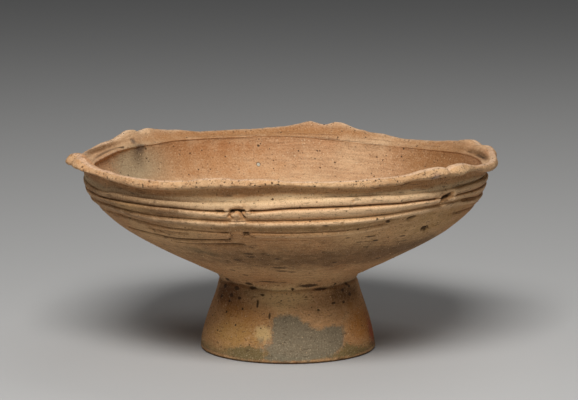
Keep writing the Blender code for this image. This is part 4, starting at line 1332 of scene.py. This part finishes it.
def grain_tree(material):
    """Scatters grains over a surface, each a small rough stone that is turned and sized at random."""
    tree = bpy.data.node_groups.new("temper_grains", "GeometryNodeTree")
    sockets = {
        "Surface": "NodeSocketGeometry",
        "Grains per square metre": "NodeSocketFloat",
        "Grain size": "NodeSocketFloat",
        "Seed": "NodeSocketInt",
    }
    for name, kind in sockets.items():
        tree.interface.new_socket(name, in_out="INPUT", socket_type=kind)
    tree.interface.new_socket("Grains", in_out="OUTPUT", socket_type="NodeSocketGeometry")
    given = add(tree, "NodeGroupInput").outputs
    share = add(tree, "GeometryNodeInputNamedAttribute", {"Name": "grains"}, data_type="FLOAT").outputs[0]
    dense = {0: given["Grains per square metre"], 1: share}
    dense = add(tree, "ShaderNodeMath", dense, operation="MULTIPLY").outputs[0]
    spread = {"Mesh": given["Surface"], "Density": dense, "Seed": given["Seed"]}
    points = add(tree, "GeometryNodeDistributePointsOnFaces", spread).outputs["Points"]
    stone = add(tree, "GeometryNodeMeshIcoSphere", {"Radius": 0.5, "Subdivisions": 1}).outputs["Mesh"]
    turns = {"Max": (math.tau,) * 3, "Seed": given["Seed"]}
    turn = add(tree, "FunctionNodeRandomValue", turns, data_type="FLOAT_VECTOR").outputs["Value"]
    shapes = {"Min": (0.45, 0.45, 0.4), "Max": (1.4, 1.1, 0.8), "Seed": given["Seed"]}
    shape = add(tree, "FunctionNodeRandomValue", shapes, data_type="FLOAT_VECTOR").outputs["Value"]
    sized = {0: shape, "Scale": given["Grain size"]}
    sized = add(tree, "ShaderNodeVectorMath", sized, operation="SCALE").outputs[0]
    copies = {"Points": points, "Instance": stone, "Rotation": turn, "Scale": sized}
    copies = add(tree, "GeometryNodeInstanceOnPoints", copies).outputs["Instances"]
    real = add(tree, "GeometryNodeRealizeInstances", {"Geometry": copies}).outputs["Geometry"]
    painted = add(tree, "GeometryNodeSetMaterial", {"Geometry": real, "Material": material}).outputs[0]
    add(tree, "NodeGroupOutput", {"Grains": painted})
    return tree


def new_object(name, mesh):
    """Puts a mesh in the scene, at the origin."""
    made = bpy.data.objects.new(name, mesh)
    bpy.context.scene.collection.objects.link(made)
    return made


class PEDESTAL_OT_dish(bpy.types.Operator):
    """Build the clay body of the dish, from the bowl's floor over the rim and down to the foot's hollow"""

    bl_idname = "pedestal.dish"
    bl_label = "Build the dish"

    def execute(self, context):
        mesh, inclusions = build_dish(context.scene.dish_sizes)
        mesh.materials.append(earthenware(context.scene.dish_colours, inclusions))
        dish = new_object("dish_body", mesh)
        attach(dish, "root")
        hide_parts(NODE)
        return {"FINISHED"}


class PEDESTAL_OT_temper(bpy.types.Operator):
    """Scatter the grains of temper that show in the surface of the clay"""

    bl_idname = "pedestal.temper"
    bl_label = "Scatter the temper"

    def execute(self, context):
        dish = bpy.data.objects.get("dish_body")
        if dish is None:
            raise RuntimeError("build the dish before its temper")
        sizes = context.scene.dish_sizes
        surface = dish.data.copy()
        low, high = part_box(NODE)
        corners = np.empty(len(surface.vertices) * 3)
        surface.vertices.foreach_get("co", corners)
        corners = corners.reshape(-1, 3)
        clear = (corners > np.array(low) + GRAIN_MARGIN) & (corners < np.array(high) - GRAIN_MARGIN)
        add_attribute(surface, "grains", clear.all(axis=1).astype(float))
        area = sum(polygon.area for polygon in surface.polygons)
        grains = new_object("temper_grains", surface)
        tree = grain_tree(temper(context.scene.dish_colours))
        modifier = grains.modifiers.new("temper_grains", "NODES")
        modifier.node_group = tree
        values = {
            "Grains per square metre": sizes.grain_count / area,
            "Grain size": sizes.grain_size,
            "Seed": sizes.seed,
        }
        for item in tree.interface.items_tree:
            if item.name in values and item.in_out == "INPUT":
                modifier[item.identifier] = values[item.name]
        graph = context.evaluated_depsgraph_get()
        result = bpy.data.meshes.new_from_object(grains.evaluated_get(graph), depsgraph=graph)
        grains.modifiers.clear()
        grains.data = result
        bpy.data.meshes.remove(surface)
        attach(grains, "root")
        return {"FINISHED"}


class PEDESTAL_OT_stage(bpy.types.Operator):
    """Set the floor, the lights and the camera"""

    bl_idname = "pedestal.stage"
    bl_label = "Set the stage"

    def execute(self, context):
        settings = context.scene.stage_settings
        stage_floor(settings)
        stage_lights(settings)
        stage_camera()
        context.scene.view_settings.view_transform = "Standard"
        return {"FINISHED"}


# The stage, in metres: half the floor's width, then each light's power setting, width and height, and place
FLOOR_REACH = 6.0
LIGHTS = {
    "key_light": ("key_power", (0.85, 0.6), (-0.1, -1.2, 1.31)),
    "fill_light": ("fill_power", (1.2, 0.8), (0.5, 0.6, 1.5)),
}
LIGHT_AIM = (0.0, 0.0, 0.07)
ROOM_COLOUR = (0.8, 0.82, 0.85, 1.0)
ROOM_STRENGTH = 0.1

# The camera as the photograph was taken: its place from the foot's axis in metres, how far it looks down in
# radians, and its sensor and lens in millimetres
CAMERA_PLACE = (0.00057, -1.53452, 0.32641)
CAMERA_TILT = 0.15491
CAMERA_SENSOR = 36.0
CAMERA_LENS = 165.96


def stage_floor(settings):
    """A plain flat floor, wide enough to fill the picture from any side."""
    corners = [(x * FLOOR_REACH, y * FLOOR_REACH, 0.0) for x, y in ((-1, -1), (1, -1), (1, 1), (-1, 1))]
    mesh = bpy.data.meshes.new("stage_floor")
    mesh.from_pydata(corners, [], [(0, 1, 2, 3)])
    material, _, shader = blank_material("matt painted floor")
    shader.inputs["Base Color"].default_value = settings.floor
    shader.inputs["Roughness"].default_value = 0.9
    mesh.materials.append(material)
    new_object("stage_floor", mesh)


def stage_lights(settings):
    """Two wide soft lights over the dish, and a faint even light from the room."""
    for name, (setting, size, location) in LIGHTS.items():
        data = bpy.data.lights.new(name, "AREA")
        data.energy = getattr(settings, setting)
        data.shape = "RECTANGLE"
        data.size, data.size_y = size
        light = bpy.data.objects.new(name, data)
        light.location = location
        light.rotation_euler = (Vector(LIGHT_AIM) - Vector(location)).to_track_quat("-Z", "Y").to_euler()
        bpy.context.scene.collection.objects.link(light)
    world = bpy.data.worlds.new("studio")
    world.use_nodes = True
    background = world.node_tree.nodes["Background"]
    background.inputs["Color"].default_value = ROOM_COLOUR
    background.inputs["Strength"].default_value = ROOM_STRENGTH
    bpy.context.scene.world = world


def stage_camera():
    """A long lens a little above the rim."""
    axis = foot_axis()
    data = bpy.data.cameras.new("camera")
    data.sensor_width = CAMERA_SENSOR
    data.lens = CAMERA_LENS
    camera = bpy.data.objects.new("camera", data)
    camera.location = (axis[0] + CAMERA_PLACE[0], axis[1] + CAMERA_PLACE[1], CAMERA_PLACE[2])
    camera.rotation_euler = (math.pi / 2 - CAMERA_TILT, 0.0, 0.0)
    bpy.context.scene.collection.objects.link(camera)
    bpy.context.scene.camera = camera


class PEDESTAL_PT_panel(bpy.types.Panel):
    """Sizes, colours and steps of the pedestal dish"""

    bl_idname = "PEDESTAL_PT_panel"
    bl_label = "Pedestal Dish"
    bl_space_type = "VIEW_3D"
    bl_region_type = "UI"
    bl_category = "Pedestal Dish"

    def draw(self, context):
        for group in (context.scene.dish_sizes, context.scene.dish_colours, context.scene.stage_settings):
            for name in group.__annotations__:
                self.layout.prop(group, name)
        for operator in OPERATORS:
            self.layout.operator(operator.bl_idname)


GROUPS = {"dish_sizes": DishSizes, "dish_colours": DishColours, "stage_settings": StageSettings}
OPERATORS = (PEDESTAL_OT_dish, PEDESTAL_OT_temper, PEDESTAL_OT_stage)


def register():
    for kind in (*GROUPS.values(), *OPERATORS, PEDESTAL_PT_panel):
        bpy.utils.register_class(kind)
    for name, group in GROUPS.items():
        setattr(bpy.types.Scene, name, bpy.props.PointerProperty(type=group))


def unregister():
    for name in GROUPS:
        delattr(bpy.types.Scene, name)
    for kind in (PEDESTAL_PT_panel, *reversed(OPERATORS), *reversed(list(GROUPS.values()))):
        bpy.utils.unregister_class(kind)


def main():
    """Builds everything: the dish inside the frame's box, its temper and the stage."""
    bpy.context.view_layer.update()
    register()
    bpy.ops.pedestal.dish()
    bpy.ops.pedestal.temper()
    bpy.ops.pedestal.stage()
    bpy.context.view_layer.update()


if __name__ == "__main__":
    main()
